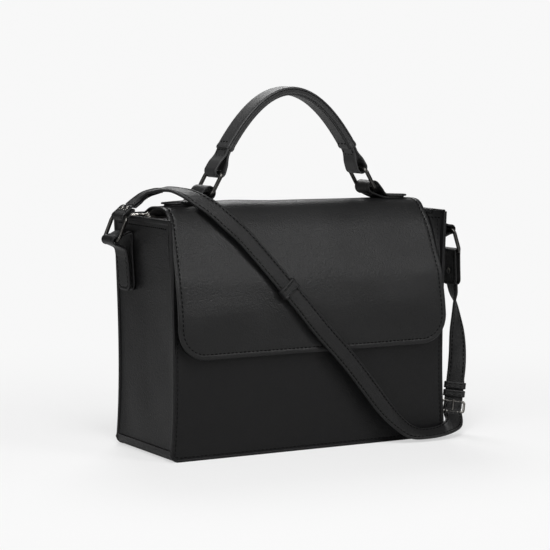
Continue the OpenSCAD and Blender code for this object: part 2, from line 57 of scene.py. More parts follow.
class BagSizes(bpy.types.PropertyGroup):
    """Sizes of the bag's soft parts, in metres."""

    stitch_pitch: FloatProperty(
        name="Stitch pitch", description="Distance from one stitch to the next", default=0.0043, unit="LENGTH"
    )
    stitch_length: FloatProperty(
        name="Stitch length", description="Length of one stitch", default=0.003, unit="LENGTH"
    )
    panel_bulge: FloatProperty(
        name="Panel bulge", description="How far the panels swell between their seams", default=0.004, unit="LENGTH"
    )
    gusset_sag: FloatProperty(
        name="Gusset sag", description="How far the gussets sink in", default=0.003, unit="LENGTH"
    )
    grain_depth: FloatProperty(
        name="Grain depth", description="Depth of the leather's grain", default=0.001, unit="LENGTH"
    )


class BagColours(bpy.types.PropertyGroup):
    """Colours of the bag's materials."""

    # painted shade: the body's black leather is given a darker colour for the shade its upright panels stand in
    leather: FloatVectorProperty(
        name="Leather", description="Colour of the body leather", subtype="COLOR", default=(0.0042, 0.0042, 0.0045)
    )
    # painted light: the flap's colour is the same black leather made lighter for the light its upturned face catches;
    # the strap takes it too
    flap: FloatVectorProperty(
        name="Flap", description="Colour of the flap's leather", subtype="COLOR", default=(0.0095, 0.0095, 0.0097)
    )
    thread: FloatVectorProperty(
        name="Thread", description="Colour of the sewing thread", subtype="COLOR", default=(0.0006, 0.0006, 0.0006)
    )
    metal: FloatVectorProperty(
        name="Metal", description="Colour of the rings", subtype="COLOR", default=(0.075, 0.072, 0.068)
    )
    cloth: FloatVectorProperty(
        name="Lining", description="Colour of the lining cloth", subtype="COLOR", default=(0.05, 0.045, 0.04)
    )


# ---------------------------------------------------------------- material building


def new_group(name, inputs, outputs):
    """A node group and its nodes, link function, start outputs, end inputs and object coordinates."""
    g = bpy.data.node_groups.new(name, "ShaderNodeTree")
    for socket, value in inputs:
        kind = "NodeSocketFloat" if isinstance(value, float) else "NodeSocketColor"
        g.interface.new_socket(name=socket, in_out="INPUT", socket_type=kind).default_value = value
    for socket in outputs:
        kind = "NodeSocketColor" if socket == "Colour" else "NodeSocketFloat"
        g.interface.new_socket(name=socket, in_out="OUTPUT", socket_type=kind)
    start, end = g.nodes.new("NodeGroupInput"), g.nodes.new("NodeGroupOutput")
    where = g.nodes.new("ShaderNodeTexCoord")
    return g, g.nodes, g.links.new, start.outputs, end.inputs, where.outputs["Object"]


def maths(nodes, link, operation, *values):
    """Output of a math node whose inputs are numbers or the outputs of other nodes."""
    node = nodes.new("ShaderNodeMath")
    node.operation = operation
    for socket, value in zip(node.inputs, values):
        if isinstance(value, float):
            socket.default_value = value
        else:
            link(value, socket)
    return node.outputs[0]


def noise_at(nodes, link, where, scale, detail):
    """Output of a noise texture."""
    node = nodes.new("ShaderNodeTexNoise")
    node.inputs["Scale"].default_value = scale
    node.inputs["Detail"].default_value = detail
    link(where, node.inputs["Vector"])
    return node.outputs["Fac"]


def tinted(nodes, link, colour, share):
    """Output of a colour made lighter or darker."""
    node = nodes.new("ShaderNodeVectorMath")
    node.operation = "SCALE"
    link(colour, node.inputs[0])
    link(share, node.inputs["Scale"])
    return node.outputs["Vector"]


def mixed(nodes, link, a, b, factor):
    """Output of a number that goes from a to b; b may be another node's output."""
    node = nodes.new("ShaderNodeMix")
    node.inputs["A"].default_value = a
    if isinstance(b, float):
        node.inputs["B"].default_value = b
    else:
        link(b, node.inputs["B"])
    link(factor, node.inputs["Factor"])
    return node.outputs["Result"]


def leather_grain_group():
    """Fine pebbled grain with slow changes of colour and gloss."""
    inputs = ("Colour", (0.02, 0.02, 0.02, 1)), ("Roughness", 0.5), ("Grain size", 900.0), ("Mottle", 0.15)
    g, nodes, link, start, end, where = new_group("Leather grain", inputs, ("Colour", "Roughness", "Height"))
    pebbles = nodes.new("ShaderNodeTexVoronoi")
    pebbles.feature = "F1"
    link(where, pebbles.inputs["Vector"])
    link(start["Grain size"], pebbles.inputs["Scale"])
    creases = noise_at(nodes, link, where, 420.0, 6.0)
    link(maths(nodes, link, "MULTIPLY_ADD", pebbles.outputs["Distance"], -0.6, creases), end["Height"])
    slow = noise_at(nodes, link, where, 22.0, 4.0)
    centred = maths(nodes, link, "SUBTRACT", maths(nodes, link, "ADD", slow, creases), 1.0)
    amount = maths(nodes, link, "MULTIPLY_ADD", centred, start["Mottle"], 1.0)
    link(tinted(nodes, link, start["Colour"], amount), end["Colour"])
    link(maths(nodes, link, "MULTIPLY", start["Roughness"], amount), end["Roughness"])
    return g


def weave_group():
    """Plain woven cloth: two crossing sets of threads."""
    inputs = ("Colour", (0.05, 0.05, 0.05, 1)), ("Thread scale", 900.0)
    g, nodes, link, start, end, where = new_group("Cloth weave", inputs, ("Colour", "Height"))
    threads = []
    for direction in ("X", "Z"):
        wave = nodes.new("ShaderNodeTexWave")
        wave.bands_direction = direction
        wave.inputs["Distortion"].default_value = 0.4
        link(where, wave.inputs["Vector"])
        link(start["Thread scale"], wave.inputs["Scale"])
        threads.append(wave.outputs["Fac"])
    high = maths(nodes, link, "MAXIMUM", *threads)
    link(high, end["Height"])
    shade = maths(nodes, link, "MULTIPLY_ADD", high, 0.5, 0.6)
    link(tinted(nodes, link, start["Colour"], shade), end["Colour"])
    return g


def wear_group():
    """Small scratches and slow changes of gloss on metal."""
    g, nodes, link, start, end, where = new_group("Metal wear", [("Roughness", 0.3)], ("Roughness", "Height"))
    rub = noise_at(nodes, link, where, 260.0, 5.0)
    link(maths(nodes, link, "MULTIPLY_ADD", rub, 0.25, start["Roughness"]), end["Roughness"])
    link(rub, end["Height"])
    return g


def shader(name):
    """A new material, its nodes, its link function and its Principled shader."""
    m = bpy.data.materials.new(name)
    m.use_nodes = True
    return m, m.node_tree.nodes, m.node_tree.links.new, m.node_tree.nodes["Principled BSDF"]


def group_node(nodes, name, build, **values):
    """Outputs of a node group, which is built when it is first asked for."""
    node = nodes.new("ShaderNodeGroup")
    node.node_tree = bpy.data.node_groups.get(name) or build()
    for key, value in values.items():
        node.inputs[key.replace("_", " ")].default_value = value
    return node.outputs


def bumped(nodes, link, bsdf, height, depth, strength):
    """Feeds a height into the shader's normal."""
    b = nodes.new("ShaderNodeBump")
    b.inputs["Distance"].default_value = depth
    b.inputs["Strength"].default_value = strength
    link(height, b.inputs["Height"])
    link(b.outputs["Normal"], bsdf.inputs["Normal"])


def leather(name, colour, roughness, grain=900.0, mottle=0.4, gloss=0.3, depth=1.0):
    """Matte leather with a fine grain."""
    if name in bpy.data.materials:
        return bpy.data.materials[name]
    m, nodes, link, bsdf = shader(name)
    grained = group_node(
        nodes, "Leather grain", leather_grain_group,
        Colour=(*colour, 1), Roughness=roughness, Grain_size=grain, Mottle=mottle,
    )
    link(grained["Colour"], bsdf.inputs["Base Color"])
    link(grained["Roughness"], bsdf.inputs["Roughness"])
    bsdf.inputs["Specular IOR Level"].default_value = gloss
    bumped(nodes, link, bsdf, grained["Height"], depth * bpy.context.scene.bag_sizes.grain_depth, 0.8)
    return m


def cloth(name, colour, threads=900.0):
    """Plain woven cloth."""
    if name in bpy.data.materials:
        return bpy.data.materials[name]
    m, nodes, link, bsdf = shader(name)
    woven = group_node(nodes, "Cloth weave", weave_group, Colour=(*colour, 1), Thread_scale=threads)
    link(woven["Colour"], bsdf.inputs["Base Color"])
    bsdf.inputs["Roughness"].default_value = 0.85
    bsdf.inputs["Sheen Weight"].default_value = 0.2
    bumped(nodes, link, bsdf, woven["Height"], 0.0001, 0.5)
    return m


def metal(name, colour, roughness):
    """Dark plated metal."""
    if name in bpy.data.materials:
        return bpy.data.materials[name]
    m, nodes, link, bsdf = shader(name)
    worn = group_node(nodes, "Metal wear", wear_group, Roughness=roughness)
    bsdf.inputs["Base Color"].default_value = (*colour, 1)
    bsdf.inputs["Metallic"].default_value = 1.0
    link(worn["Roughness"], bsdf.inputs["Roughness"])
    bumped(nodes, link, bsdf, worn["Height"], 0.00003, 0.3)
    return m


def colours():
    return bpy.context.scene.bag_colours


# the body takes the darker leather colour, which is painted shade
def body_leather():
    return leather("Body leather", colours().leather, 0.45, mottle=0.25, gloss=0.29, depth=0.28)


# the flap takes the lighter leather colour, which is painted light
def flap_leather():
    return leather("Flap leather", colours().flap, 0.4, gloss=0.3, depth=0.35)


# painted light: the handle's leather is the flap's colour made 2.6 times lighter for the top light it catches; the
# handle's folded ends share it
def lit_handle_leather():
    return leather("Handle leather", tuple(2.6 * c for c in colours().flap), 0.5, gloss=0.4, depth=0.1)


# the strap takes the flap's lighter colour, which is painted light
def strap_leather():
    return leather("Strap leather", colours().flap, 0.46, grain=1200.0, depth=0.5)


def thread():
    return leather("Sewing thread", colours().thread, 0.75, grain=2500.0, gloss=0.06, depth=0.2)


def lining_cloth():
    return cloth("Lining cloth", colours().cloth)


def slider_metal():
    return metal("Slider metal", (0.4, 0.385, 0.36), 0.16)


# ---------------------------------------------------------------- mesh building, in millimetres


def piece(name, part, material, body="bag", stands_for=(), sharp=45):
    """Makes one piece from (points, faces) in millimetres and puts it on its body."""
    verts, faces = part
    mesh = bpy.data.meshes.new(name)
    points = np.asarray(verts, float).reshape(-1, 3) * MM
    mesh.from_pydata(points.tolist(), [], [tuple(map(int, f)) for f in faces])
    mesh.validate()
    mesh.polygons.foreach_set("use_smooth", [True] * len(mesh.polygons))
    mesh.set_sharp_from_angle(angle=math.radians(sharp))
    obj = bpy.data.objects.new(name, mesh)
    bpy.context.scene.collection.objects.link(obj)
    mesh.materials.append(material)
    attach(obj, body)
    if stands_for:
        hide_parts(*stands_for)
    return obj


def dress(names, material):
    """Gives a material to CAD nodes whose shape is right as it is."""
    for name in names:
        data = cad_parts[name].data
        data.materials.clear()
        data.materials.append(material)


def unit(v):
    """Vectors of length 1 in the same directions."""
    v = np.asarray(v, float)
    return v / np.maximum(np.linalg.norm(v, axis=-1, keepdims=True), 1e-9)


def xyz(x, y, z):
    """Points from three coordinates, each a number or an array."""
    return np.stack(np.broadcast_arrays(x, y, z), -1)


def lengths(line):
    """Distance of each point of a line from its start, along it."""
    return np.concatenate([[0], np.cumsum(np.linalg.norm(np.diff(line, axis=0), axis=1))])


def points_at(want, s, line):
    """Points of a line at the wanted lengths, where s are its own points' lengths."""
    return np.stack([np.interp(want, s, line[:, k]) for k in range(line.shape[1])], -1)


def ramp(x):
    """A number kept between 0 and 1."""
    return np.clip(x, 0, 1)


def hump(x, at, width):
    """A soft hump of height 1 in the middle."""
    return np.exp(-(((x - at) / width) ** 2))


def rounding(d, r):
    """Height of a quarter circle at a distance from its foot."""
    return np.sqrt(np.maximum(r * r - np.maximum(r - d, 0) ** 2, 0))


def around(n):
    """Angles of n points round a circle."""
    return np.linspace(0, 2 * np.pi, n, endpoint=False)


def turned(part, flip=True):
    """A part with its faces turned to their other side."""
    return (part[0], [f[::-1] for f in part[1]]) if flip else part


def caps(m, last):
    """The two end faces of a tube whose last ring of m points starts at a given point."""
    return [tuple(range(m - 1, -1, -1)), tuple(last + k for k in range(m))]


def grid_faces(rows, cols, start=0, flip=False, closed=False):
    """Faces of a grid of points that is stored row by row."""
    out = []
    for r in range(rows - 1):
        for c in range(cols if closed else cols - 1):
            a, b = start + r * cols + c, start + r * cols + (c + 1) % cols
            e, f = a + cols, b + cols
            out.append((a, b, f, e) if not flip else (a, e, f, b))
    return out


def tube(rings):
    """Tube through rings of points, closed at both ends."""
    n, m = rings.shape[:2]
    return rings.reshape(-1, 3), grid_faces(n, m, closed=True) + caps(m, (n - 1) * m)


def slab(outer, inner):
    """Closed sheet between two grids of points of the same size."""
    rows, cols = outer.shape[:2]
    n = rows * cols
    faces = grid_faces(rows, cols) + grid_faces(rows, cols, n, True)
    edge = [(0, c) for c in range(cols)] + [(r, cols - 1) for r in range(1, rows)]
    edge += [(rows - 1, c) for c in range(cols - 2, -1, -1)] + [(r, 0) for r in range(rows - 2, 0, -1)]
    ids = [r * cols + c for r, c in edge]
    for a, b in zip(ids, ids[1:] + ids[:1]):
        faces.append((b, a, a + n, b + n))
    return np.concatenate([outer.reshape(-1, 3), inner.reshape(-1, 3)]), faces


def grid_normals(p):
    """Normals of a grid of points, by its neighbours."""
    return unit(np.cross(np.gradient(p, axis=1), np.gradient(p, axis=0)))


def joined(*parts):
    """Several (points, faces) as one."""
    verts, faces, n = [], [], 0
    for v, f in parts:
        v = np.asarray(v, float).reshape(-1, 3)
        verts.append(v)
        faces += [tuple(i + n for i in q) for q in f]
        n += len(v)
    return np.concatenate(verts), faces


def mirrored(part):
    """A part on the other side of the bag's middle."""
    v = np.array(part[0], float)
    v[:, 0] *= -1
    return turned((v, part[1]))


def evenly(fine, step, closed=False):
    """The same line with its points an equal distance apart."""
    fine = np.asarray(fine, float)
    if closed:
        fine = np.vstack([fine, fine[:1]])
    s = lengths(fine)
    want = np.linspace(0, s[-1], max(2, int(round(s[-1] / step))) + 1)
    return points_at(want[:-1] if closed else want, s, fine)


def smooth_path(points, step):
    """Even points along a smooth curve through the given ones."""
    p = np.asarray(points, float)
    ext = np.vstack([2 * p[0] - p[1], p, 2 * p[-1] - p[-2]])
    fine = []
    for i in range(1, len(ext) - 2):
        a, b, c, d = ext[i - 1 : i + 3]
        for t in np.linspace(0, 1, 24, endpoint=False):
            fine.append(
                0.5 * (2 * b + (c - a) * t + (2 * a - 5 * b + 4 * c - d) * t**2 + (3 * b - a - 3 * c + d) * t**3)
            )
    fine.append(ext[-2])
    return evenly(np.array(fine), step)


def sweep(path, across, section, closed=False, sizes=None):
    """Carries a section, given across and out of the path, along it."""
    path, section = np.asarray(path, float), np.asarray(section, float)
    if closed:
        along = unit(np.roll(path, -1, 0) - np.roll(path, 1, 0))
    else:
        along = unit(np.gradient(path, axis=0))
    across = np.broadcast_to(np.asarray(across, float), path.shape)
    across = unit(across - along * (across * along).sum(1, keepdims=True))
    out = np.cross(along, across)
    size = np.ones(len(path)) if sizes is None else np.asarray(sizes)
    v = (
        path[:, None]
        + (section[None, :, 0] * size[:, None])[..., None] * across[:, None]
        + (section[None, :, 1] * size[:, None])[..., None] * out[:, None]
    )
    if not closed:
        return tube(v)
    n, m = v.shape[:2]
    last = (n - 1) * m
    seam = [(last + k, last + (k + 1) % m, (k + 1) % m, k) for k in range(m)]
    return v.reshape(-1, 3), grid_faces(n, m, closed=True) + seam


def round_section(radius, n=12):
    """A circle of n points."""
    a = around(n)
    return np.stack([radius * np.cos(a), radius * np.sin(a)], 1)


def swollen(a, power):
    """Cosine and sine whose curve is squarer than a circle."""
    c, s = np.cos(a), np.sin(a)
    return np.sign(c) * np.abs(c) ** power[0], np.sign(s) * np.abs(s) ** power[1]


def soft_section(width, height, n, square):
    """A flat section with rounded sides."""
    c, s = swollen(around(n), (2 / square, 2 / square))
    return np.stack([width / 2 * c, height / 2 * s], 1)


def band_section(width, t, rim):
    """Section of a leather strip with rounded edges and a slight channel inside each edge."""
    w, h, r = width / 2, t / 2, min(t / 2, 1.0)
    half = [(w, 0), (w - 0.15 * r, 0.6 * r), (w - 0.6 * r, h - 0.05), (w - 1.4, h + rim), (w - 2.0, h + rim * 0.6)]
    half += [(w - 2.5, h - 0.35), (w - 3.0, h - 0.35), (w - 3.5, h - 0.02), (w * 0.45, h), (0, h)]
    up = half + [(-x, y) for x, y in half[-2::-1]]
    return np.array(up + [(x, -y) for x, y in up[-2:0:-1]])


def stitches(lines, body, name, thickness=0.5):
    """Short raised threads along lines of (points, normals)."""
    sizes = bpy.context.scene.bag_sizes
    pitch, length = sizes.stitch_pitch / MM, sizes.stitch_length / MM
    ring = round_section(1.0, 6)
    verts, faces, base = [], [], 0
    for points, normals in lines:
        points = np.asarray(points, float)
        normals = np.broadcast_to(np.asarray(normals, float), points.shape)
        s = lengths(points)
        n = int(s[-1] // pitch)
        mids = (np.arange(n) + 0.5) * s[-1] / n
        up = unit(points_at(mids, s, normals))
        a, b = points_at(mids - length / 2, s, points), points_at(mids + length / 2, s, points)
        along = unit(b - a)
        side = np.cross(up, along)
        rings = []
        for share, size in ((-0.5, 0.25), (-0.32, 1.0), (0.32, 1.0), (0.5, 0.25)):
            c = (a + b) / 2 + along * length * share - up * (thickness * 0.5 * (1 - size))
            rings.append(
                c[:, None]
                + side[:, None] * ring[None, :, :1] * thickness * size
                + up[:, None] * ring[None, :, 1:] * thickness * size
            )
        for one in np.stack(rings, 1):
            faces += grid_faces(4, 6, base, closed=True)
            faces += [tuple(base + i for i in q) for q in caps(6, 18)]
            verts.append(one.reshape(-1, 3))
            base += 24
    return piece(name, (np.concatenate(verts), faces), thread(), body, sharp=80)


def lathe(profile, sides=28):
    """Turns (radius, height) points round the z axis."""
    a = around(sides)
    p = np.asarray(profile, float)
    return tube(xyz(p[:, :1] * np.cos(a), p[:, :1] * np.sin(a), p[:, 1:]))


def placed(part, origin, x_axis, z_axis):
    """Moves a (points, faces) part so that its z axis and x axis point as asked."""
    z = unit(z_axis)
    x = unit(np.asarray(x_axis, float) - z * np.dot(x_axis, z))
    y = np.cross(z, x)
    v = np.asarray(part[0])
    return np.asarray(origin, float) + v[:, :1] * x + v[:, 1:2] * y + v[:, 2:] * z, part[1]


def corner_arc(cx, cy, r, a0, a1, n=24):
    """Points of an arc from one angle to another, in degrees."""
    a = np.radians(np.linspace(a0, a1, n))
    return np.stack([cx + r * np.cos(a), cy + r * np.sin(a)], 1)


def polyline_at(line, shares):
    """Points of a line at shares of its length."""
    s = lengths(line)
    return points_at(np.asarray(shares) * s[-1], s, np.asarray(line, float))


EDGE_RADIUS = 1.1
EDGE_STEPS = (0, 0.25, 0.6, 1.1, 1.7, 2.4, 3.1, 3.8, 4.5, 5.2, 6.0, 7.2, 9.0, 11.5)


def dense_ends(length, step):
    """Shares from 0 to 1, close together near both ends."""
    near = np.array([e for e in EDGE_STEPS if e < length / 2 - 0.5])
    inner = length - 2 * near[-1]
    n = max(1, int(round(inner / step)))
    middle = near[-1] + inner * np.arange(1, n) / n
    return np.concatenate([near, middle, length - near[::-1]]) / length


def distance_to(points, line):
    """Shortest distance from each point to a flat line."""
    flat = points.reshape(-1, 2)
    a, b = line[:-1], line[1:]
    ab = b - a
    best = np.full(len(flat), 1e9)
    for i in range(len(a)):
        t = np.clip(((flat - a[i]) @ ab[i]) / max(ab[i] @ ab[i], 1e-9), 0, 1)
        best = np.minimum(best, np.linalg.norm(flat - a[i] - t[:, None] * ab[i], axis=1))
    return best.reshape(points.shape[:-1])


def edge_height(d, t, groove_at, groove, roll):
    """Height of a leather plate's top at a distance from its edge: rounded edge, roll, stitch channel."""
    r = min(EDGE_RADIUS, t * 0.5)
    h = t - r + rounding(d, r) + roll * hump(d, groove_at * 0.5, groove_at * 0.28)
    return h - groove * hump(d, groove_at, 0.7)


def plate(borders, place, t, rim_line, step, groove_at, groove, roll, sizes):
    """Leather plate between four border lines in flat coordinates, carried onto its surface by place(u, v, h)."""
    a, b = (dense_ends(size, step) for size in sizes)
    lo, hi, le, ri = (polyline_at(c, k) for c, k in zip(borders, (a, a, b, b)))
    aa, bb = a[None, :, None], b[:, None, None]
    flat = (1 - bb) * lo[None] + bb * hi[None] + (1 - aa) * le[:, None] + aa * ri[:, None]
    flat = flat - ((1 - aa) * (1 - bb) * lo[0] + aa * (1 - bb) * lo[-1] + (1 - aa) * bb * hi[0] + aa * bb * hi[-1])
    d = distance_to(flat, rim_line)
    top = place(flat[..., 0], flat[..., 1], edge_height(d, t, groove_at, groove, roll))
    r = min(EDGE_RADIUS, t * 0.5)
    return slab(top, place(flat[..., 0], flat[..., 1], r * 0.6 - rounding(d, r) * 0.6))


def inset_line(line, distance):
    """A line moved to its left by a distance, without the points that come too close to it."""
    line = evenly(line, 0.8)
    t = unit(np.gradient(line, axis=0))
    moved = line + distance * np.stack([-t[:, 1], t[:, 0]], 1)
    keep = distance_to(moved, line) > distance - 0.12
    return moved[keep]


def on_place(place, line, h):
    """Points and normals of a flat line on a carried surface."""
    p, q = (place(line[:, 0], line[:, 1], np.full(len(line), height)) for height in (h, h + 1.0))
    return p, unit(q - p)


def tab_lines(length, width, r):
    """Border lines of a strip with rounded ends, from u = 0 to its length, v across, and its whole edge."""
    w, far = width / 2, length - r
    low = np.vstack([corner_arc(r, -w + r, r, 225, 270), corner_arc(far, -w + r, r, 270, 315)])
    right = np.vstack([corner_arc(far, -w + r, r, 315, 360), corner_arc(far, w - r, r, 0, 45)])
    high = np.vstack([corner_arc(r, w - r, r, 135, 90), corner_arc(far, w - r, r, 90, 45)])
    left = np.vstack([corner_arc(r, -w + r, r, 225, 180), corner_arc(r, w - r, r, 180, 135)])
    return (low, high, left, right), np.vstack([low, right, high[::-1], left[::-1]])


def strip(length, width, t, place, r, groove_at, step=1.3):
    """Leather strip on its place, as (points, faces), with its edge line."""
    borders, rim = tab_lines(length, width, r)
    return plate(borders, place, t, rim, step, groove_at, 0.25, 0.15, (length, width)), rim


def rail_of(line):
    """A function that gives points and normals at lengths along a flat line, and the line's length."""
    s = lengths(line)
    t = unit(np.gradient(line, axis=0))
    out = np.stack([t[:, 1], -t[:, 0]], 1)
    return lambda u: (points_at(u, s, line), unit(points_at(u, s, out))), s[-1]


def path_place(path, y0, lift=None):
    """place(u, v, h) for a strip that runs along a path in the x, z plane and is wide along y."""
    at, length = rail_of(evenly(path, 0.4))

    def place(u, v, h):
        p, n = at(u)
        out = xyz(p[..., 0] + n[..., 0] * h, y0 + v, p[..., 1] + n[..., 1] * h)
        if lift is not None:
            out[..., 2] += lift(u, v)
        return out

    return place, length


def faces_out(path, y0, at, d):
    """path_place for a strap folded round a point, run the way round that puts its top face outside."""
    place, length = path_place(path, y0)
    base, probe = (place(np.ones(1), np.zeros(1), np.array([h]))[0][[0, 2]] for h in (0.0, 1.0))
    outside = np.dot(probe - base, base - at - d * np.dot(base - at, d)) > 0
    return (place, length) if outside else path_place(path[::-1], y0)


# ---------------------------------------------------------------- the bag's own forms, in millimetres

HALF_W, HALF_D, TOP_Z, CORNER = 150.2, 59.0, 223.0, 7.5
TOP_LEVELS = (209, 213, 216, 218.5, 220.5, 222, 223)
SEAM_Z = 216.0  # stitch line under the top edge
BODY_T, FLAP_T, LINING_T, TAB_T, FOLD_T, SIDE_TAB_T = 2.0, 2.2, 0.9, 1.7, 2.0, 2.1
STRAP_WIDTH, STRAP_T, STRAP_STEP = 18.0, 2.6, 2.5
STRAP_SEAM = 6.25  # from the strap's middle to its stitches
HANDLE_Y, SIDE_Y = -10.0, 35.0
BAR_X, BAR_Z, RING_REACH = 166.0, {"left": 200.5, "right": 203.5}, 24  # side rings: their bars, and from bar to bar
AZIMUTH = math.radians(-29.36)  # the photograph's side
PALE = 0.937  # the photograph's background
FLAP_LINE = [
    (36.0, 226.0), (26.0, 226.3), (19.0, 226.9), (13.5, 228.8), (8.5, 231.6), (2.0, 234.0), (-5.0, 235.0),
    (-12.0, 235.3), (-17.7, 235.3), (-22.0, 234.9), (-27.1, 233.5), (-31.0, 231.0), (-35.5, 226.0),
    (-40.0, 219.6), (-43.8, 213.0), (-49.3, 200.0), (-55.0, 184.0), (-61.5, 167.0), (-65.0, 151.0),
    (-67.3, 138.3), (-68.5, 127.0), (-69.6, 111.5), (-70.5, 95.0),
]
STRAP_ROUTE = [
    (-146, 35, 233), (-139, 35, 238), (-134, 32, 242), (-130, 25, 245), (-128, 15, 247),
    (-125, 3, 249), (-120, -10, 249), (-114, -22, 246), (-106, -32, 240), (-96, -40, 232),
    (-85, -46, 221), (-70, -52, 206), (-54, -59, 186), (-37, -66, 164), (-19, -71, 142),
    (0, -75, 118), (28, -76, 88), (50, -76, 62), (70, -75, 38), (86, -74, 22), (101, -74, 11),
    (118, -74, 7), (134, -73, 7), (149, -69, 9), (161, -61, 12), (167, -52, 17), (169, -46, 22),
    (171, -45, 32), (173, -44, 43), (175, -43, 54), (177, -42, 65), (179, -40, 80), (179, -39, 97),
    (179, -37, 114), (178, -36, 129), (177, -35, 138), (175, -35, 149),
]
STRAP_ACROSS = [
    (0, 1, 0), (0, 1, 0), (0.1, 1, 0), (0.3, 1, 0), (0.6, 1, 0),
    (0.8, 0.8, 0.1), (0.8, 0.6, 0.1), (0.8, 0.5, 0.3), (0.8, 0.4, 0.5), (0.7, 0.3, 0.6),
    (0.7, 0.2, 0.6), (0.7, 0.2, 0.6), (0.7, 0.2, 0.6), (0.7, 0.2, 0.6), (0.7, 0.1, 0.6),
    (0.7, 0, 0.6), (0.7, 0, 0.6), (0.7, 0, 0.6), (0.7, 0.1, 0.6), (0.6, 0.4, 0.6), (0.3, 0.6, 0.6),
    (0, 0.9, 0.35), (-0.1, 0.95, 0.25), (-0.35, 0.9, 0.25), (-0.7, 0.6, 0.3), (-0.9, 0.5, 0.1), (-0.9, 0.5, 0),
    (-0.9, 0.5, 0), (-0.9, 0.5, 0), (-0.9, 0.5, 0), (-0.9, 0.5, 0), (-1, 0.3, 0), (-1, 0, 0),
    (-0.9, -0.5, 0), (-0.6, -0.8, 0), (-0.2, -1, 0), (0, -1, 0),
]


def bow(z):
    """How far the corner seams bow in at a height."""
    return 4.0 * np.sin(np.pi * ramp(z / TOP_Z) ** 0.72)


def wall(x, z):
    """Distance of the front and back panels from the middle plane."""
    t = (z - 162.0) / 61.0
    lean = 27.0 * 0.5 * (t + np.sqrt(t * t + 0.004))
    u = ramp((149.5 - np.abs(x)) / 11.0)
    bulge = bpy.context.scene.bag_sizes.panel_bulge / MM
    swell = bulge * np.sin(np.pi * ramp(z / 190.0)) ** 0.9 * ramp(np.cos(np.pi / 2 * x / 150.0)) ** 0.55
    return HALF_D - lean * u * (2 - u) + swell


def gusset(y, z):
    """Distance of the gussets from the middle plane across the bag."""
    sag = bpy.context.scene.bag_sizes.gusset_sag / MM
    up = np.sin(np.pi * ramp(z / TOP_Z))
    return HALF_W + 0.8 - bow(z) - sag * up**0.8 * ramp(np.cos(np.pi * y / 124.0)) ** 0.7


def rounded_x(z, half, r):
    """Half the bag's width at a height, with rounded lower corners."""
    return half - r + rounding(z, r)


def ripple(p, size, seed):
    """Slow uneven waves in leather."""
    flat = p.reshape(-1, 3)
    out = [noise.noise(Vector((v[0] * 0.013 + seed, v[1] * 0.02, v[2] * 0.016))) for v in flat]
    return size * np.array(out).reshape(p.shape[:-1])


def leather_panel(side):
    """Front (-1) or back (+1) panel as a leather sheet."""
    z = np.concatenate([(0.4, 1, 2, 3.5, 5, 7, 9.5, 12, 15), np.linspace(19, 205, 48), TOP_LEVELS])
    ends = np.array([0.89, 0.92, 0.94, 0.95, 0.96, 0.97, 0.98, 0.99, 0.995, 1])
    a = np.concatenate([-ends[::-1], np.linspace(-0.85, 0.85, 44), ends])
    x = a[None, :] * (rounded_x(z, HALF_W - 0.8, CORNER) - bow(z))[:, None]
    zz = np.broadcast_to(z[:, None], x.shape)
    outer = xyz(x, side * wall(x, zz), zz)
    n = grid_normals(outer)
    n = np.where(n[..., 1:2] * side < 0, -n, n)
    fade = ramp((1 - np.abs(a))[None, :] * 12) * ramp((TOP_Z - z) / 30)[:, None] * ramp(z / 20)[:, None]
    outer = outer + n * (ripple(outer, 0.9, 3.0 + side) * fade)[..., None]
    return turned(slab(outer, outer - n * BODY_T), side > 0)


def top_roll(line, across):
    """Turned edge along a top line."""
    return sweep(line, across, soft_section(3.2, 5.0, 16, 3.0))


# ---------------------------------------------------------------- operators


class BAG_OT_camera(bpy.types.Operator):
    """Place the camera where the photograph was taken from"""

    bl_idname = "bag.camera"
    bl_label = "Camera"

    def execute(self, context):
        rise, distance = math.radians(5.74), 2.099
        back = Vector((math.sin(AZIMUTH) * math.cos(rise), -math.cos(AZIMUTH) * math.cos(rise), math.sin(rise)))
        data = bpy.data.cameras.new("Camera")
        data.sensor_width = 36.0
        data.lens = 2157.0 / 550.0 * 36.0
        data.shift_x = -(282.0 - 275.0) / 550.0
        cam = bpy.data.objects.new("Camera", data)
        context.scene.collection.objects.link(cam)
        cam.rotation_mode = "QUATERNION"
        cam.location = Vector((0, 0, 0.162)) + back * distance
        cam.rotation_quaternion = (-back).to_track_quat("-Z", "Y")
        data.clip_start, data.clip_end = 0.05, 50.0
        context.scene.camera = cam
        return {"FINISHED"}


def strap_frames():
    """Even points of the strap's smooth line with their across directions."""
    fine = smooth_path(np.hstack([np.array(STRAP_ROUTE, float), unit(STRAP_ACROSS) * 40]), 1.0)
    s = lengths(fine[:, :3])
    even = points_at(np.linspace(0, s[-1], int(s[-1] / STRAP_STEP) + 1), s, fine)
    return even[:, :3], unit(even[:, 3:])


def strap_side(points, across, w, h):
    """Line on the strap's face at a distance from its middle, with its normals."""
    along = unit(np.gradient(points, axis=0))
    across = unit(across - along * (across * along).sum(1, keepdims=True))
    out = np.cross(along, across)
    return points + across * w + out * h, out * np.sign(h)


class BAG_OT_strap(bpy.types.Operator):
    """Lay the shoulder strap over the flap, round its turn on the floor and up to its buckle"""

    bl_idname = "bag.strap"
    bl_label = "Shoulder strap"

    def execute(self, context):
        points, across = strap_frames()
        part = sweep(points, across, band_section(STRAP_WIDTH, STRAP_T, 0.2))
        piece("strap", part, strap_leather(), "bag", ("shoulder_strap",))
        lines = [strap_side(points, across, w, h) for w in (STRAP_SEAM, -STRAP_SEAM) for h in (1.05, -1.05)]
        stitches(lines, "bag", "strap_stitches")
        # second ply under the strap where it leaves its left end
        k = int(34.0 / STRAP_STEP) + 1
        low, _ = strap_side(points[:k], across[:k], 0.0, -2.5)
        piece("strap_under_ply", sweep(low, across[:k], band_section(STRAP_WIDTH, 2.2, 0.15)), strap_leather())
        lines = [strap_side(low, across[:k], w, -0.9) for w in (STRAP_SEAM, -STRAP_SEAM)]
        stitches(lines, "bag", "strap_under_ply_stitches")
        return {"FINISHED"}


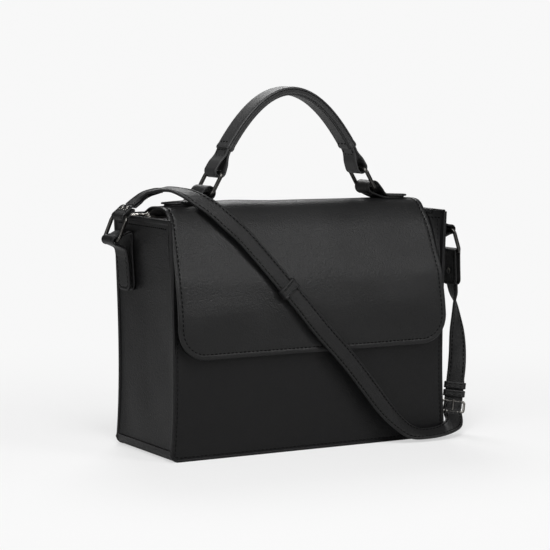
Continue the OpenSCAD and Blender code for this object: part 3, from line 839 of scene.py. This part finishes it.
class BAG_OT_body(bpy.types.Operator):
    """Build the leather body: panels, gussets, base, edge bindings and their stitching"""

    bl_idname = "bag.body"
    bl_label = "Body"

    def execute(self, context):
        skin = body_leather()
        for side, name in ((-1, "front_panel"), (1, "back_panel")):
            x = np.linspace(-146, 146, 120)
            line = xyz(x, side * (wall(x, np.full_like(x, 222.0)) - 1.2), 221.8)
            part = joined(leather_panel(side), top_roll(line, (0, 1, 0)))
            piece(name + "_leather", part, skin, "bag", (name,))
        z = np.concatenate([np.linspace(CORNER + 2.5, 205, 44), TOP_LEVELS])
        y = np.linspace(-57.8, 57.8, 42)
        yy, zz = np.broadcast_arrays(y[None, :], z[:, None])
        fade = ramp((57.8 - np.abs(y)) / 14)[None, :] * ramp((TOP_Z - z) / 30)[:, None]
        for side, name in ((-1, "left_gusset"), (1, "right_gusset")):
            outer = xyz(side * gusset(yy, zz), yy, zz)
            outer[..., 0] += side * ripple(outer, 1.1, 9.0 * side) * fade
            edge = xyz(side * (gusset(y, np.full_like(y, 222.0)) - 1.0), y, 221.8)
            sheet = turned(slab(outer, outer - np.array([side * BODY_T, 0, 0])), side < 0)
            piece(name + "_leather", joined(sheet, top_roll(edge, (1, 0, 0))), skin, "bag", (name,))
        # base with its ends turned up
        a = np.radians(np.linspace(0, 90, 12))[1:]
        flat_x = HALF_W + 0.4 - CORNER
        end_x = np.append(flat_x + CORNER * np.sin(a), HALF_W + 0.5)
        end_z = np.append(CORNER - CORNER * np.cos(a) + 0.2, CORNER + 2.8)
        x = np.concatenate([-end_x[::-1], np.linspace(-flat_x, flat_x, 30), end_x])
        z = np.concatenate([end_z[::-1], np.full(30, 0.2), end_z])
        outer = xyz(x[None, :], np.linspace(-57.6, 57.6, 16)[:, None], z[None, :])
        part = turned(slab(outer, outer + grid_normals(outer) * 1.8))
        piece("base_leather", part, skin, "bag", ("base_panel",))
        # bindings round the front and back edges
        z = np.linspace(222.5, CORNER + 2, 60)
        left = np.stack([-(HALF_W + 0.2 - bow(z)), z], 1)
        arcs = (
            corner_arc(-HALF_W + CORNER, CORNER + 1.2, CORNER, 180, 270, 16),
            corner_arc(HALF_W - CORNER, CORNER + 1.2, CORNER, 270, 360, 16),
        )
        flat = evenly(np.vstack([left, *arcs, left[::-1] * (-1, 1)]), 3.0)
        seam = inset_line(flat, 2.8)
        x = np.concatenate([np.linspace(-148.3, -138, 40), np.linspace(-137, 137, 140), np.linspace(138, 148.3, 40)])
        z = np.full_like(x, SEAM_Z)
        slope = (wall(x + 0.1, z) - wall(x - 0.1, z)) / 0.2
        for side, name in ((-1, "front_binding"), (1, "back_binding")):
            line = xyz(flat[:, 0], side * (HALF_D - 0.2), flat[:, 1])
            part = sweep(line, (0, 1, 0), soft_section(3.6, 3.2, 14, 2.6))
            piece(name + "_welt", part, skin, "bag", (name,))
            line = xyz(seam[:, 0], side * (wall(seam[:, 0], seam[:, 1]) + 0.05), seam[:, 1])
            stitches([(line[line[:, 2] < SEAM_Z], (0, side, 0))], "bag", name + "_seam_stitches", thickness=0.26)
            face = unit(xyz(-slope, side, 0.44))
            stitches([(xyz(x, side * wall(x, z), z) + face * 0.1, face)], "bag", name + "_stitches")
        y = np.linspace(-52, 52, 60)
        z = np.full_like(y, 215.8)
        rows = [(xyz(side * gusset(y, z), y, z), (side, 0, 0)) for side in (-1, 1)]
        stitches(rows, "bag", "gusset_stitches")
        return {"FINISHED"}


class BAG_OT_inside(bpy.types.Operator):
    """Hang the lining and set the stiff board in the base"""

    bl_idname = "bag.inside"
    bl_label = "Lining and base board"

    def execute(self, context):
        levels = np.concatenate([[5.0, 6.0, 8.0, 11.0], np.linspace(16, 160, 18), np.linspace(166, 219.5, 12)])
        long, short = np.linspace(-1, 1, 40), np.linspace(-1, 1, 16)[1:-1]
        shares = np.concatenate([long, np.ones(14), -long, -np.ones(14)])
        depth = np.concatenate([-np.ones(40), short, np.ones(40), -short])

        def ring(z, inset):
            x = shares * (rounded_x(z - 4, 145.5, 8.0) - bow(z) - inset)
            reach = wall(np.clip(np.abs(x) - 4.0, 0, None), np.full_like(x, z)) - 3.4 - inset
            return xyz(x, depth * np.where(z < 150, np.minimum(reach, 56.0 - inset), reach), z)

        v = np.array([ring(z, 0.0) for z in levels] + [ring(z, 0.8) for z in levels[::-1]])
        v[..., 1] -= np.sign(v[..., 1]) * ramp(ripple(v, 1.0, 21.0)) * 0.8
        piece("lining_bag", tube(v), lining_cloth(), "bag", ("lining",))
        dress(("base_board",), cloth("Base board", (0.03, 0.026, 0.022), 500.0))
        return {"FINISHED"}


class BAG_OT_zip(bpy.types.Operator):
    """Fit the zip: tapes, teeth, slider and pull"""

    bl_idname = "bag.zip"
    bl_label = "Zip"

    def execute(self, context):
        tape = cloth("Zip tape", (0.008, 0.008, 0.009), 1300.0)
        x, t = np.broadcast_arrays(np.linspace(-147.5, 147.5, 90)[None, :], np.linspace(0, 1, 14)[:, None])
        sag = 222.6 - 0.5 * np.sin(np.pi * t) - 0.25 * np.sin(x * 0.21) * np.sin(np.pi * t)
        for side, name in ((-1, "zip_tape_front"), (1, "zip_tape_back")):
            outer = xyz(x, side * (2.6 + (27.8 - 2.6) * t), sag)
            part = turned(slab(outer, outer - np.array([0, 0, 0.8])), side < 0)
            piece(name + "_cloth", part, tape, "bag", (name,))
        dress(("zip_teeth_front", "zip_teeth_back", "zip_stops"), metal("Zip teeth", (0.2, 0.19, 0.18), 0.25))
        cx = -141.7
        c, s = swollen(around(32), (0.55, 0.55))
        body = []
        for z, size in ((223.75, 0.96), (223.9, 1.0), (224.7, 1.0), (225.05, 0.93)):
            px = cx + 4.0 * size * c
            taper = 1 - 0.18 * (px - cx) / 4.0
            body.append(xyz(px, np.clip(5.0 * size * taper * s, -5, 5), z))
        parts = [tube(np.array(body))]
        for y in (-4.4, 4.4):
            rail = evenly([(cx - 3.7, y, 223.55), (cx + 3.7, y, 223.55)], 1.0)
            parts.append(sweep(rail, (0, 1, 0), soft_section(1.1, 1.1, 12, 3)))
        arch = np.array([(-3.0, 0), (-2.9, 1.0), (-2.2, 1.55), (0, 1.7), (2.2, 1.55), (2.9, 1.0), (3.0, 0)])
        arch = smooth_path(xyz(cx - 2.5, arch[:, 0] * 0.8, 225.0 + arch[:, 1]), 0.5)
        parts.append(sweep(arch, (1, 0, 0), round_section(0.75, 10)))
        piece("zip_slider_metal", joined(*parts), slider_metal(), "zip_slider", ("zip_slider",))
        ex, ez = cx - 2.5, 226.7
        a, b = around(20), around(44)
        eye = xyz(ex + 1.35 * np.cos(a), 0, ez + 1.35 * np.sin(a))
        eye = sweep(eye, (0, 1, 0), round_section(0.55, 8), closed=True)
        oval = xyz(ex - 12.6 + 4.6 * np.cos(b), 2.75 * np.sin(b), ez - 0.1)
        ring = sweep(oval, (0, 0, 1), soft_section(1.7, 1.5, 12, 3), closed=True)
        neck = evenly([(ex - 1.6, 0, ez), (ex - 5.0, 0, ez - 0.1), (ex - 8.3, 0, ez - 0.1)], 0.8)
        neck = sweep(neck, (0, 1, 0), soft_section(2.3, 1.3, 14, 3))
        piece("zip_pull_metal", joined(eye, ring, neck), slider_metal(), "zip_pull", ("zip_pull",))
        return {"FINISHED"}


def flap_place(thickness, setback=0.0):
    """place(x, s, h) on the flap's outer line from its fold down, the line's length, and its height at s."""
    at, length = rail_of(smooth_path(FLAP_LINE, 1.5))

    def place(x, d, h):
        p, n = at(d)
        lift = h - thickness - setback
        return xyz(x, p[..., 0] + n[..., 0] * lift, p[..., 1] + n[..., 1] * lift)

    return place, length, lambda d: at(d)[0][..., 1]


def flap_half(z):
    """Half the flap's width at a height."""
    heights = (95, 127, 151, 167, 184, 200, 213, 224, 240)
    return np.interp(z, heights, (146.8, 146.8, 146.2, 146.2, 144.8, 143.8, 142.8, 141.2, 141))


def flap_lines(length, height_at, trim, r):
    """Border lines of the flap in flat coordinates, and the edge that has a rolled rim."""
    low_s = length - r - trim
    s = np.linspace(0, low_s, 60)
    half = flap_half(height_at(s)) - trim
    w = half[-1] - r
    left = np.vstack([np.stack([-half, s], 1), corner_arc(-w, low_s, r, 180, 135)])
    right = np.vstack([np.stack([half, s], 1), corner_arc(w, low_s, r, 0, 45)])
    high = np.vstack([corner_arc(-w, low_s, r, 135, 90), corner_arc(w, low_s, r, 90, 45)])
    low = np.stack([np.linspace(-half[0], half[0], 20), np.zeros(20)], 1)
    return (low, high, left, right), np.vstack([left, high, right[::-1]])


class BAG_OT_flap(bpy.types.Operator):
    """Curve the flap over the top, with its rolled rim, stitching, lining and sewn band"""

    bl_idname = "bag.flap"
    bl_label = "Flap"

    def execute(self, context):
        place, length, height_at = flap_place(FLAP_T)
        borders, rim = flap_lines(length, height_at, 0.0, 28.0)

        def waved(x, s, h):
            x, s, h = np.broadcast_arrays(x, s, h)
            dip = 0.6 + 0.6 * ripple(xyz(x * 1.6, s * 1.3, 0.0), 1.6, 5.0)
            p = place(x, s, h - np.clip(dip, 0, 1.1) * ramp(s / 50 - 1) * ramp(h / FLAP_T))
            crown = 2.6 * hump(x, -66, 34) + 0.8 * hump(x, 5, 50) - 1.3 * hump(np.abs(x), 137, 14)
            p[..., 2] += crown * hump(s, 50, 20)
            p[..., 1] -= 0.35 * np.sin(x * 0.034 + 0.6) * ramp(s / 60)
            return p

        outer = plate(
            borders, waved, FLAP_T, rim, step=5.0, groove_at=5.0, groove=0.55, roll=0.2, sizes=(292.0, length)
        )
        fold = sweep(xyz(np.linspace(-141, 141, 60), 36.0, 224.9), (0, 1, 0), round_section(1.6, 16))
        piece("flap_outer", joined(outer, fold), flap_leather(), "flap", ("flap_leather",), sharp=60)
        stitches([on_place(waved, inset_line(rim, -5.0), FLAP_T - 0.35)], "flap", "flap_stitches")
        inner, _, _ = flap_place(LINING_T, 2.25)
        (low, high, left, right), rim = flap_lines(length, height_at, 4.0, 24.0)
        low[:, 1] = left[0, 1] = right[0, 1] = 6.0
        borders = low, high, left[left[:, 1] >= 6.0], right[right[:, 1] >= 6.0]
        part = plate(
            borders, inner, LINING_T, rim, step=7.0, groove_at=3.0, groove=0.0, roll=0.0, sizes=(284.0, length - 10)
        )
        piece("flap_inner", part, lining_cloth(), "flap", ("flap_lining",))
        # band that sews the flap to the back panel
        x = np.linspace(-136, 136, 60)
        xx, zz = np.broadcast_arrays(x[None, :], np.linspace(199.2, 223.2, 14)[:, None])
        base = wall(xx, zz)
        band = turned(slab(xyz(xx, base + 1.7, zz + 0.3), xyz(xx, base + 0.1, zz)))
        hinge = sweep(xyz(np.linspace(-140.5, 140.5, 60), 34.2, 223.7), (0, 1, 0), soft_section(5.4, 3.8, 16, 2.4))
        piece("flap_band_leather", joined(band, hinge), body_leather(), "bag", ("flap_band",))
        levels = [np.full_like(x, z) for z in (201.8, 219.5)]
        rows = [(xyz(x, wall(x, z) + 1.75, z), unit((0, 1, 0.44))) for z in levels]
        stitches(rows, "bag", "flap_band_stitches")
        dress(("magnets",), metal("Magnet", (0.5, 0.5, 0.5), 0.25))
        return {"FINISHED"}


def crest(y):
    """Height of the flap's outer face at a depth near its crest."""
    depths, heights = zip(*sorted(FLAP_LINE[:12]))
    return np.interp(y, depths, heights)


def pair(stem, part, rows, material, body, node):
    """A part and its stitches on the bag's right side, and the same mirrored on its left."""
    for sign, side in ((1, "right"), (-1, "left")):
        m = np.array([sign, 1, 1])
        shape = part if sign > 0 else mirrored(part)
        piece(f"{stem}_{side}", shape, material, body, (f"{node}_{side}",))
        stitches([(p * m, q * m) for p, q in rows], body, f"{stem}_stitches_{side}", thickness=0.3)


def end_seam(rim, inset, reach, centre):
    """The stitch line round a strip's first end, from one side to the other."""
    line = inset_line(rim, inset)
    line = line[line[:, 0] < reach]
    return line[np.argsort(np.arctan2(line[:, 1], centre - line[:, 0]))]


class BAG_OT_handle(bpy.types.Operator):
    """Build the padded handle, its folded ends, the tabs on the flap and finish the rings"""

    bl_idname = "bag.handle"
    bl_label = "Handle"

    def execute(self, context):
        top_z, end_x, end_z = 340.75, 68.5, 285.8
        x = np.linspace(-end_x, end_x, 90)
        mid = evenly(xyz(x, HANDLE_Y, top_z - (top_z - end_z) * (x / end_x) ** 2), 1.6)
        c, s = swollen(around(400), (0.3, 0.5))
        section = evenly(np.stack([12 * c, 4.25 * s], 1), 0.34, closed=True)
        across, up = section[:, 0], section[:, 1]
        flank = ramp((np.abs(across) - 10.5) / 0.8) * np.sign(across)
        across -= flank * (1.2 * hump(up, 1.5, 0.32) + 0.45 * hump(up, -1.3, 0.9))
        up += 0.45 * hump(np.abs(across), 8.6, 0.6) * (up < 0)
        n = len(mid)
        end = np.minimum(np.arange(n), np.arange(n)[::-1]) * 1.6
        size = 1.0 + 0.05 * (end < 4.0) - 0.06 * np.exp(-end / 0.5)
        part, nodes = sweep(mid, (0, 1, 0), section, sizes=size), ("handle_cover", "handle_core")
        piece("handle_padded", part, lit_handle_leather(), "handle", nodes, sharp=50)
        out = np.cross(unit(np.gradient(mid, axis=0)), (0.0, 1.0, 0.0))
        y = np.linspace(-8.5, 8.5, 12)
        rows = []
        for k in (4, n - 5):
            for sign in (1, -1):
                rows.append((xyz(mid[k, 0], HANDLE_Y + y, mid[k, 2]) + out[k] * 4.4 * sign, out[k] * sign))
        stitches(rows, "handle", "handle_end_stitches")
        # folded straps from the handle's ends round the rings
        top, tip = np.array([78.5, 264.785]), np.array([end_x, end_z])
        d = unit(tip - top)
        side = np.array([d[1], -d[0]])
        ang = math.degrees(math.atan2(d[1], d[0]))
        far = top + d * (np.linalg.norm(tip - top) + 1.5)
        path = np.vstack([
            [far + side * 0.3, top + d * 17.5 + side * 0.4, top + d * 12.5 + side * 1.7, top + d * 8.5 + side * 3.1],
            corner_arc(top[0] + d[0] * 0.9, top[1] + d[1] * 0.9, 4.2, ang - 78, ang - 282, 26),
            [top + d * 8.5 - side * 3.1, top + d * 12.5 - side * 1.7, top + d * 17.5 - side * 0.4, far - side * 0.3],
        ])
        place, length = faces_out(smooth_path(path, 0.5), HANDLE_Y, top, d)
        part, _ = strip(length, 23.0, FOLD_T, place, r=2.0, groove_at=2.6, step=1.2)
        y = np.linspace(-8.5, 8.5, 10)
        box = [np.stack([np.full(10, u), y], 1) for u in (2.6, length - 2.6, 9.0, length - 9.0)]
        for w in (-8.5, 8.5):
            for low, high in ((2.6, 9.0), (length - 9.0, length - 2.6)):
                box.append(np.stack([np.linspace(low, high, 8), np.full(8, w)], 1))
        rows = [on_place(place, line, FOLD_T) for line in box]
        pair("handle_fold", part, rows, lit_handle_leather(), "handle", "handle_chape")
        # tabs on the flap
        c0 = float(crest(HANDLE_Y))
        bar_x, bar_z = 90.5, 244.0
        path = np.vstack([
            [(134.0, c0 + 1.9), (120, c0 + 1.9), (109, c0 + 2.1), (105.5, c0 + 2.7), (102.3, c0 + 5.0)],
            [(99.6, c0 + 8.6)],
            corner_arc(bar_x + 0.4, bar_z + 1.9, 5.1, 40, 276, 30),
            [(96.0, c0 + 3.9), (101.0, c0 + 2.4), (106.0, c0 + 1.8), (118, c0 + 1.7), (131.0, c0 + 1.7)],
        ])

        def follow(u, v):
            end = np.minimum(u, length - u)
            near = ramp((end - 26) / 14)
            return (crest(HANDLE_Y + v) - c0) * (1 - near) - 1.2 * (1 - ramp(end / 26)) ** 2

        place, length = path_place(smooth_path(path, 0.5), HANDLE_Y, follow)
        part, rim = strip(length, 26.6, TAB_T, place, r=13.0, groove_at=3.4)
        rows = [on_place(place, end_seam(rim, 3.4, reach=33, centre=30), 1.6)]
        pair("handle_tab", part, rows, flap_leather(), "flap", "handle_base")
        rings = ("handle_ring_left", "handle_ring_right", "strap_ring_left", "strap_ring_right")
        dress(rings, metal("Gunmetal", colours().metal, 0.2))
        return {"FINISHED"}


class BAG_OT_side_tabs(bpy.types.Operator):
    """Sew the side tabs on the gussets and fold the strap's ends round their rings"""

    bl_idname = "bag.side_tabs"
    bl_label = "Side tabs and strap ends"

    def execute(self, context):
        def skin_x(z):
            return float(gusset(np.array(SIDE_Y), np.array(z)))

        g = skin_x(190.0)
        for sign, name in ((-1, "left"), (1, "right")):
            bar_z = BAR_Z[name]
            path = np.vstack([
                [(skin_x(152) + 4.8, 152.0), (skin_x(165) + 5.0, 165.0), (skin_x(180) + 5.2, 180.0), (g + 5.6, 186.5)],
                [(g + 7.5, bar_z - 7.5), (BAR_X - 3.2, bar_z - 3.6)],
                corner_arc(BAR_X, bar_z, 2.7, -75, 105, 26),
                [(BAR_X - 5.5, bar_z + 3.6), (g + 6.0, bar_z + 6.4), (g + 2.6, bar_z + 6.6), (g + 2.1, bar_z + 3.5)],
                [(g + 2.2, 190.0), (skin_x(170) + 2.2, 170.0), (skin_x(152) + 2.2, 152.0)],
            ])
            place, length = path_place(smooth_path(path, 0.5), -SIDE_Y)
            (v, f), rim = strip(length, 26.0, SIDE_TAB_T, place, r=7.5, groove_at=3.2)
            p, q = on_place(place, end_seam(rim, 3.2, reach=34, centre=34), 2.0)
            half_turn = np.array([sign, sign, 1])
            part, nodes = (v * half_turn, f), ("side_tab_" + name,)
            piece("side_tab_leather_" + name, part, body_leather(), "bag", nodes)
            stitches([(p * half_turn, q * half_turn)], "bag", "side_tab_stitches_" + name, thickness=0.3)
        ends = (
            ("left", -BAR_X, 23, SIDE_Y, 42.0, 13.0, 4.5, [(8, 5), (8, -5)]),
            ("right", BAR_X, 162, -SIDE_Y, -88.0, 33.5, 6.0, [(19.5, 0)]),
        )
        dome = lathe([(3.0, 0), (3.05, 0.3), (2.7, 0.75), (2.3, 0.5), (2.0, 0.75), (1.2, 1.15), (0.1, 1.3)])
        for name, bar_x, ring_turn, y0, turn, reach, r, rivets in ends:
            swing, a = math.radians(ring_turn), math.radians(turn)
            at = np.array([bar_x + RING_REACH * math.sin(swing), BAR_Z[name] + RING_REACH * math.cos(swing)])
            d, n = np.array([math.cos(a), math.sin(a)]), np.array([-math.sin(a), math.cos(a)])
            path = np.vstack([
                [at + d * reach - n * 1.45, at + d * (reach * 0.5) - n * 1.45, at + d * 4.5 - n * 1.6],
                corner_arc(at[0], at[1], 2.0, turn - 65, turn - 295, 26),
                [at + d * 4.5 + n * 1.6, at + d * (reach * 0.5) + n * 1.45, at + d * reach + n * 1.45],
            ])
            place, length = faces_out(smooth_path(path, 0.5), y0, at, d)
            part, rim = strip(length, 25.0, TAB_T, place, r, groove_at=2.6)
            body = "strap_end_" + name
            piece("strap_fold_" + name, part, strap_leather(), body, (body,))
            seam = on_place(place, inset_line(rim, 2.6), 1.6)
            stitches([seam], body, "strap_fold_stitches_" + name, thickness=0.28)
            heads = []
            for u, w in rivets:
                for s in (1, -1):
                    x, z = at + d * u + n * 3.0 * s
                    heads.append(placed(dome, (x, y0 + w, z), (0, 1, 0), (n[0] * s, 0, n[1] * s)))
            # painted light: the rivets are the rings' gunmetal made twice as light, so that they still show in the
            # shade where they sit
            rivet_metal_lightened = metal("Rivet metal", (0.15, 0.145, 0.135), 0.22)
            piece("rivet_heads_" + name, joined(*heads), rivet_metal_lightened, body, ("rivets_" + name,))
        return {"FINISHED"}


def spot(index, share):
    """Place and axes on the strap: point, across, out of its face, along."""
    p, q = np.array(STRAP_ROUTE[index], float), np.array(STRAP_ROUTE[index + 1], float)
    along = unit(q - p)
    w = np.array(STRAP_ACROSS[index], float)
    w = unit(w - along * np.dot(w, along))
    return p + (q - p) * share, w, np.cross(along, w), along


def keeper(index, share, length, depth, shift, name, node):
    """Leather loop round the strap."""
    at, w, n, t = spot(index, share)
    c, s = swollen(around(56), (0.16, 0.3))
    wide, tall = STRAP_WIDTH + 2 * 1.1, depth - 1.2
    ring = at + np.outer(wide / 2 * c, w) + np.outer(tall / 2 * s + shift, n)
    part = sweep(evenly(ring, 1.0, closed=True), t, band_section(length, 1.3, 0.08), closed=True)
    piece(name, part, strap_leather(), "bag", (node,))
    middle = at + np.outer(np.linspace(-8.2, 8.2, 14), w) + n * (shift + depth / 2 + 0.05)
    rows = [(middle + t * off, n) for off in (-length / 2 + 1.9, length / 2 - 1.9)]
    stitches(rows, "bag", name + "_stitches", thickness=0.28)


class BAG_OT_buckle(bpy.types.Operator):
    """Fit the strap's keepers, buckle frame, prong and tail"""

    bl_idname = "bag.buckle"
    bl_label = "Buckle and keepers"

    def execute(self, context):
        one_ply = STRAP_T + 2 * 1.7
        two_plies = one_ply + STRAP_T + 0.5
        for index, share, length, depth, shift, name, node in (
            (13, 0.35, 10.0, one_ply, 0.0, "loose_keeper", "strap_keeper"),
            (28, 0.32, 6.5, two_plies, 1.55, "buckle_keeper_high", "buckle_keeper_upper"),
            (27, 0.6, 6.5, two_plies, 1.55, "buckle_keeper_low", "buckle_keeper_lower"),
        ):
            keeper(index, share, length, depth, shift, name, node)
        at, w, n, t = spot(28, 0.05)
        tail = np.stack([at + t * k + n * 2.9 for k in np.linspace(-20, 8.5, 22)])
        part = sweep(tail, w, band_section(STRAP_WIDTH, 2.4, 0.1))
        piece("strap_end_ply", part, strap_leather(), "bag", ("strap_tail",))
        rows = [(tail + w * off + n * 1.15, n) for off in (-6.3, 6.3)]
        stitches(rows, "bag", "strap_end_ply_stitches", thickness=0.28)
        at, w, n, t = spot(26, 0.58)
        c, s = swollen(around(64), (0.22, 0.3))
        ring = evenly(at + n * 2.9 - t * 2.0 + np.outer(11.2 * c, w) + np.outer(5.2 * s, t), 0.8, closed=True)
        hoop = sweep(ring, n, round_section(1.3, 10), closed=True)

        def arched(start, run, height, count):
            k = np.linspace(0, 1, count)[:, None]
            return at + n * (height + 0.5 * np.sin(k * math.pi)) + t * (start - run * k)

        prong = sweep(arched(5.0, 11.0, 4.4, 16), w, round_section(0.85, 10), sizes=np.linspace(1.1, 0.75, 16))
        narrow = np.sqrt(np.clip(1 - (ramp(np.linspace(0, 1, 14) - 0.35) / 0.66) ** 2.2, 0.02, 1))
        tip = sweep(arched(-4.0, 13.0, 2.7, 14), w, band_section(16.5, 2.2, 0.1), sizes=narrow)
        piece("strap_tip", tip, strap_leather())
        buckle_metal = metal("Buckle metal", (0.24, 0.23, 0.215), 0.2)
        piece("buckle_frame_metal", joined(hoop, prong), buckle_metal, "bag", ("buckle_frame",))
        points, _ = strap_frames()
        length = np.linalg.norm(np.diff(points, axis=0), axis=1).sum()
        return {"FINISHED"}


class BAG_OT_stage(bpy.types.Operator):
    """Set the pale floor, the lights and the world"""

    bl_idname = "bag.stage"
    bl_label = "Stage"

    def execute(self, context):
        scene = context.scene
        scene.view_settings.view_transform = "Standard"
        mesh = bpy.data.meshes.new("Floor")
        line = [(-4.0, 0.0)]
        for k in range(25):
            a = math.pi / 2 * k / 24
            line.append((2.2 + 1.2 * math.sin(a), 1.2 - 1.2 * math.cos(a)))
        line.append((3.4, 4.0))
        c, s = math.cos(AZIMUTH), math.sin(AZIMUTH)
        verts = [(side * c - d * s, side * s + d * c, h) for side in (-5.0, 5.0) for d, h in line]
        n = len(line)
        mesh.from_pydata(verts, [], [(k, k + 1, n + k + 1, n + k) for k in range(n - 1)])
        mesh.polygons.foreach_set("use_smooth", [True] * (n - 1))
        floor = bpy.data.objects.new("Floor", mesh)
        scene.collection.objects.link(floor)
        m, nodes, link, bsdf = shader("Pale floor")
        bsdf.inputs["Roughness"].default_value = 0.9
        bsdf.inputs["Specular IOR Level"].default_value = 0.0
        # near the bag the floor takes light and shadow, far from it the camera sees an even white
        where = nodes.new("ShaderNodeNewGeometry")
        far = nodes.new("ShaderNodeVectorMath")
        far.operation = "LENGTH"
        link(where.outputs["Position"], far.inputs[0])
        fade = nodes.new("ShaderNodeMapRange")
        fade.interpolation_type = "SMOOTHSTEP"
        fade.inputs["From Min"].default_value = 0.2
        fade.inputs["From Max"].default_value = 0.75
        link(far.outputs["Value"], fade.inputs["Value"])
        away = fade.outputs["Result"]
        camera_ray = nodes.new("ShaderNodeLightPath").outputs["Is Camera Ray"]
        tone = mixed(nodes, link, 0.34, 0.0, away)
        link(mixed(nodes, link, 0.6, tone, camera_ray), bsdf.inputs["Base Color"])
        glow = mixed(nodes, link, 0.545, PALE, away)
        bsdf.inputs["Emission Color"].default_value = (1, 1, 1, 1)
        link(maths(nodes, link, "MULTIPLY", glow, camera_ray), bsdf.inputs["Emission Strength"])
        mesh.materials.append(m)
        world = bpy.data.worlds.new("Studio")
        world.use_nodes = True
        scene.world = world
        nodes, link = world.node_tree.nodes, world.node_tree.links.new
        nodes["Background"].inputs["Color"].default_value = (1, 1, 1, 1)
        # past the floor's edge the camera sees the same even white, while the bag is lit by a dim room
        camera_ray = nodes.new("ShaderNodeLightPath").outputs["Is Camera Ray"]
        link(mixed(nodes, link, 0.14, PALE, camera_ray), nodes["Background"].inputs["Strength"])
        for name, where, aim, size, power in (
            ("Top light", (-0.42, -0.8, 1.5), (0, 0, 0.1), 0.7, 18.0),
            ("Front light", (0.75, -1.45, 1.1), (0, 0, 0.15), 0.6, 9.0),
            ("Side light", (-1.7, -0.7, 0.6), (0, 0, 0.12), 0.7, 9.5),
            ("Back light", (0.35, 0.95, 1.25), (0, 0, 0.2), 0.6, 11.0),
        ):
            data = bpy.data.lights.new(name, "AREA")
            data.shape = "SQUARE"
            data.size = size
            data.energy = power
            lamp = bpy.data.objects.new(name, data)
            scene.collection.objects.link(lamp)
            lamp.location = where
            lamp.rotation_mode = "QUATERNION"
            lamp.rotation_quaternion = (Vector(aim) - Vector(where)).to_track_quat("-Z", "Y")
        return {"FINISHED"}


class BAG_PT_panel(bpy.types.Panel):
    """Lists the steps that build the bag"""

    bl_label = "Top handle bag"
    bl_idname = "BAG_PT_panel"
    bl_space_type = "VIEW_3D"
    bl_region_type = "UI"
    bl_category = "Bag"

    def draw(self, context):
        for step in STEPS:
            self.layout.operator(step.bl_idname)
        for group in (context.scene.bag_sizes, context.scene.bag_colours):
            box = self.layout.box()
            for name in group.bl_rna.properties.keys():
                if name not in ("rna_type", "name"):
                    box.prop(group, name)


STEPS = (
    BAG_OT_camera, BAG_OT_strap, BAG_OT_buckle, BAG_OT_body, BAG_OT_inside, BAG_OT_zip, BAG_OT_flap,
    BAG_OT_handle, BAG_OT_side_tabs, BAG_OT_stage,
)
CLASSES = (BagSizes, BagColours) + STEPS + (BAG_PT_panel,)


def register():
    for c in CLASSES:
        bpy.utils.register_class(c)
    bpy.types.Scene.bag_sizes = PointerProperty(type=BagSizes)
    bpy.types.Scene.bag_colours = PointerProperty(type=BagColours)


def unregister():
    del bpy.types.Scene.bag_colours
    del bpy.types.Scene.bag_sizes
    for c in reversed(CLASSES):
        bpy.utils.unregister_class(c)


def main():
    register()
    bpy.ops.bag.camera()
    bpy.ops.bag.strap()
    bpy.ops.bag.buckle()
    bpy.ops.bag.body()
    bpy.ops.bag.inside()
    bpy.ops.bag.zip()
    bpy.ops.bag.flap()
    bpy.ops.bag.handle()
    bpy.ops.bag.side_tabs()
    bpy.ops.bag.stage()


if __name__ == "__main__":
    main()
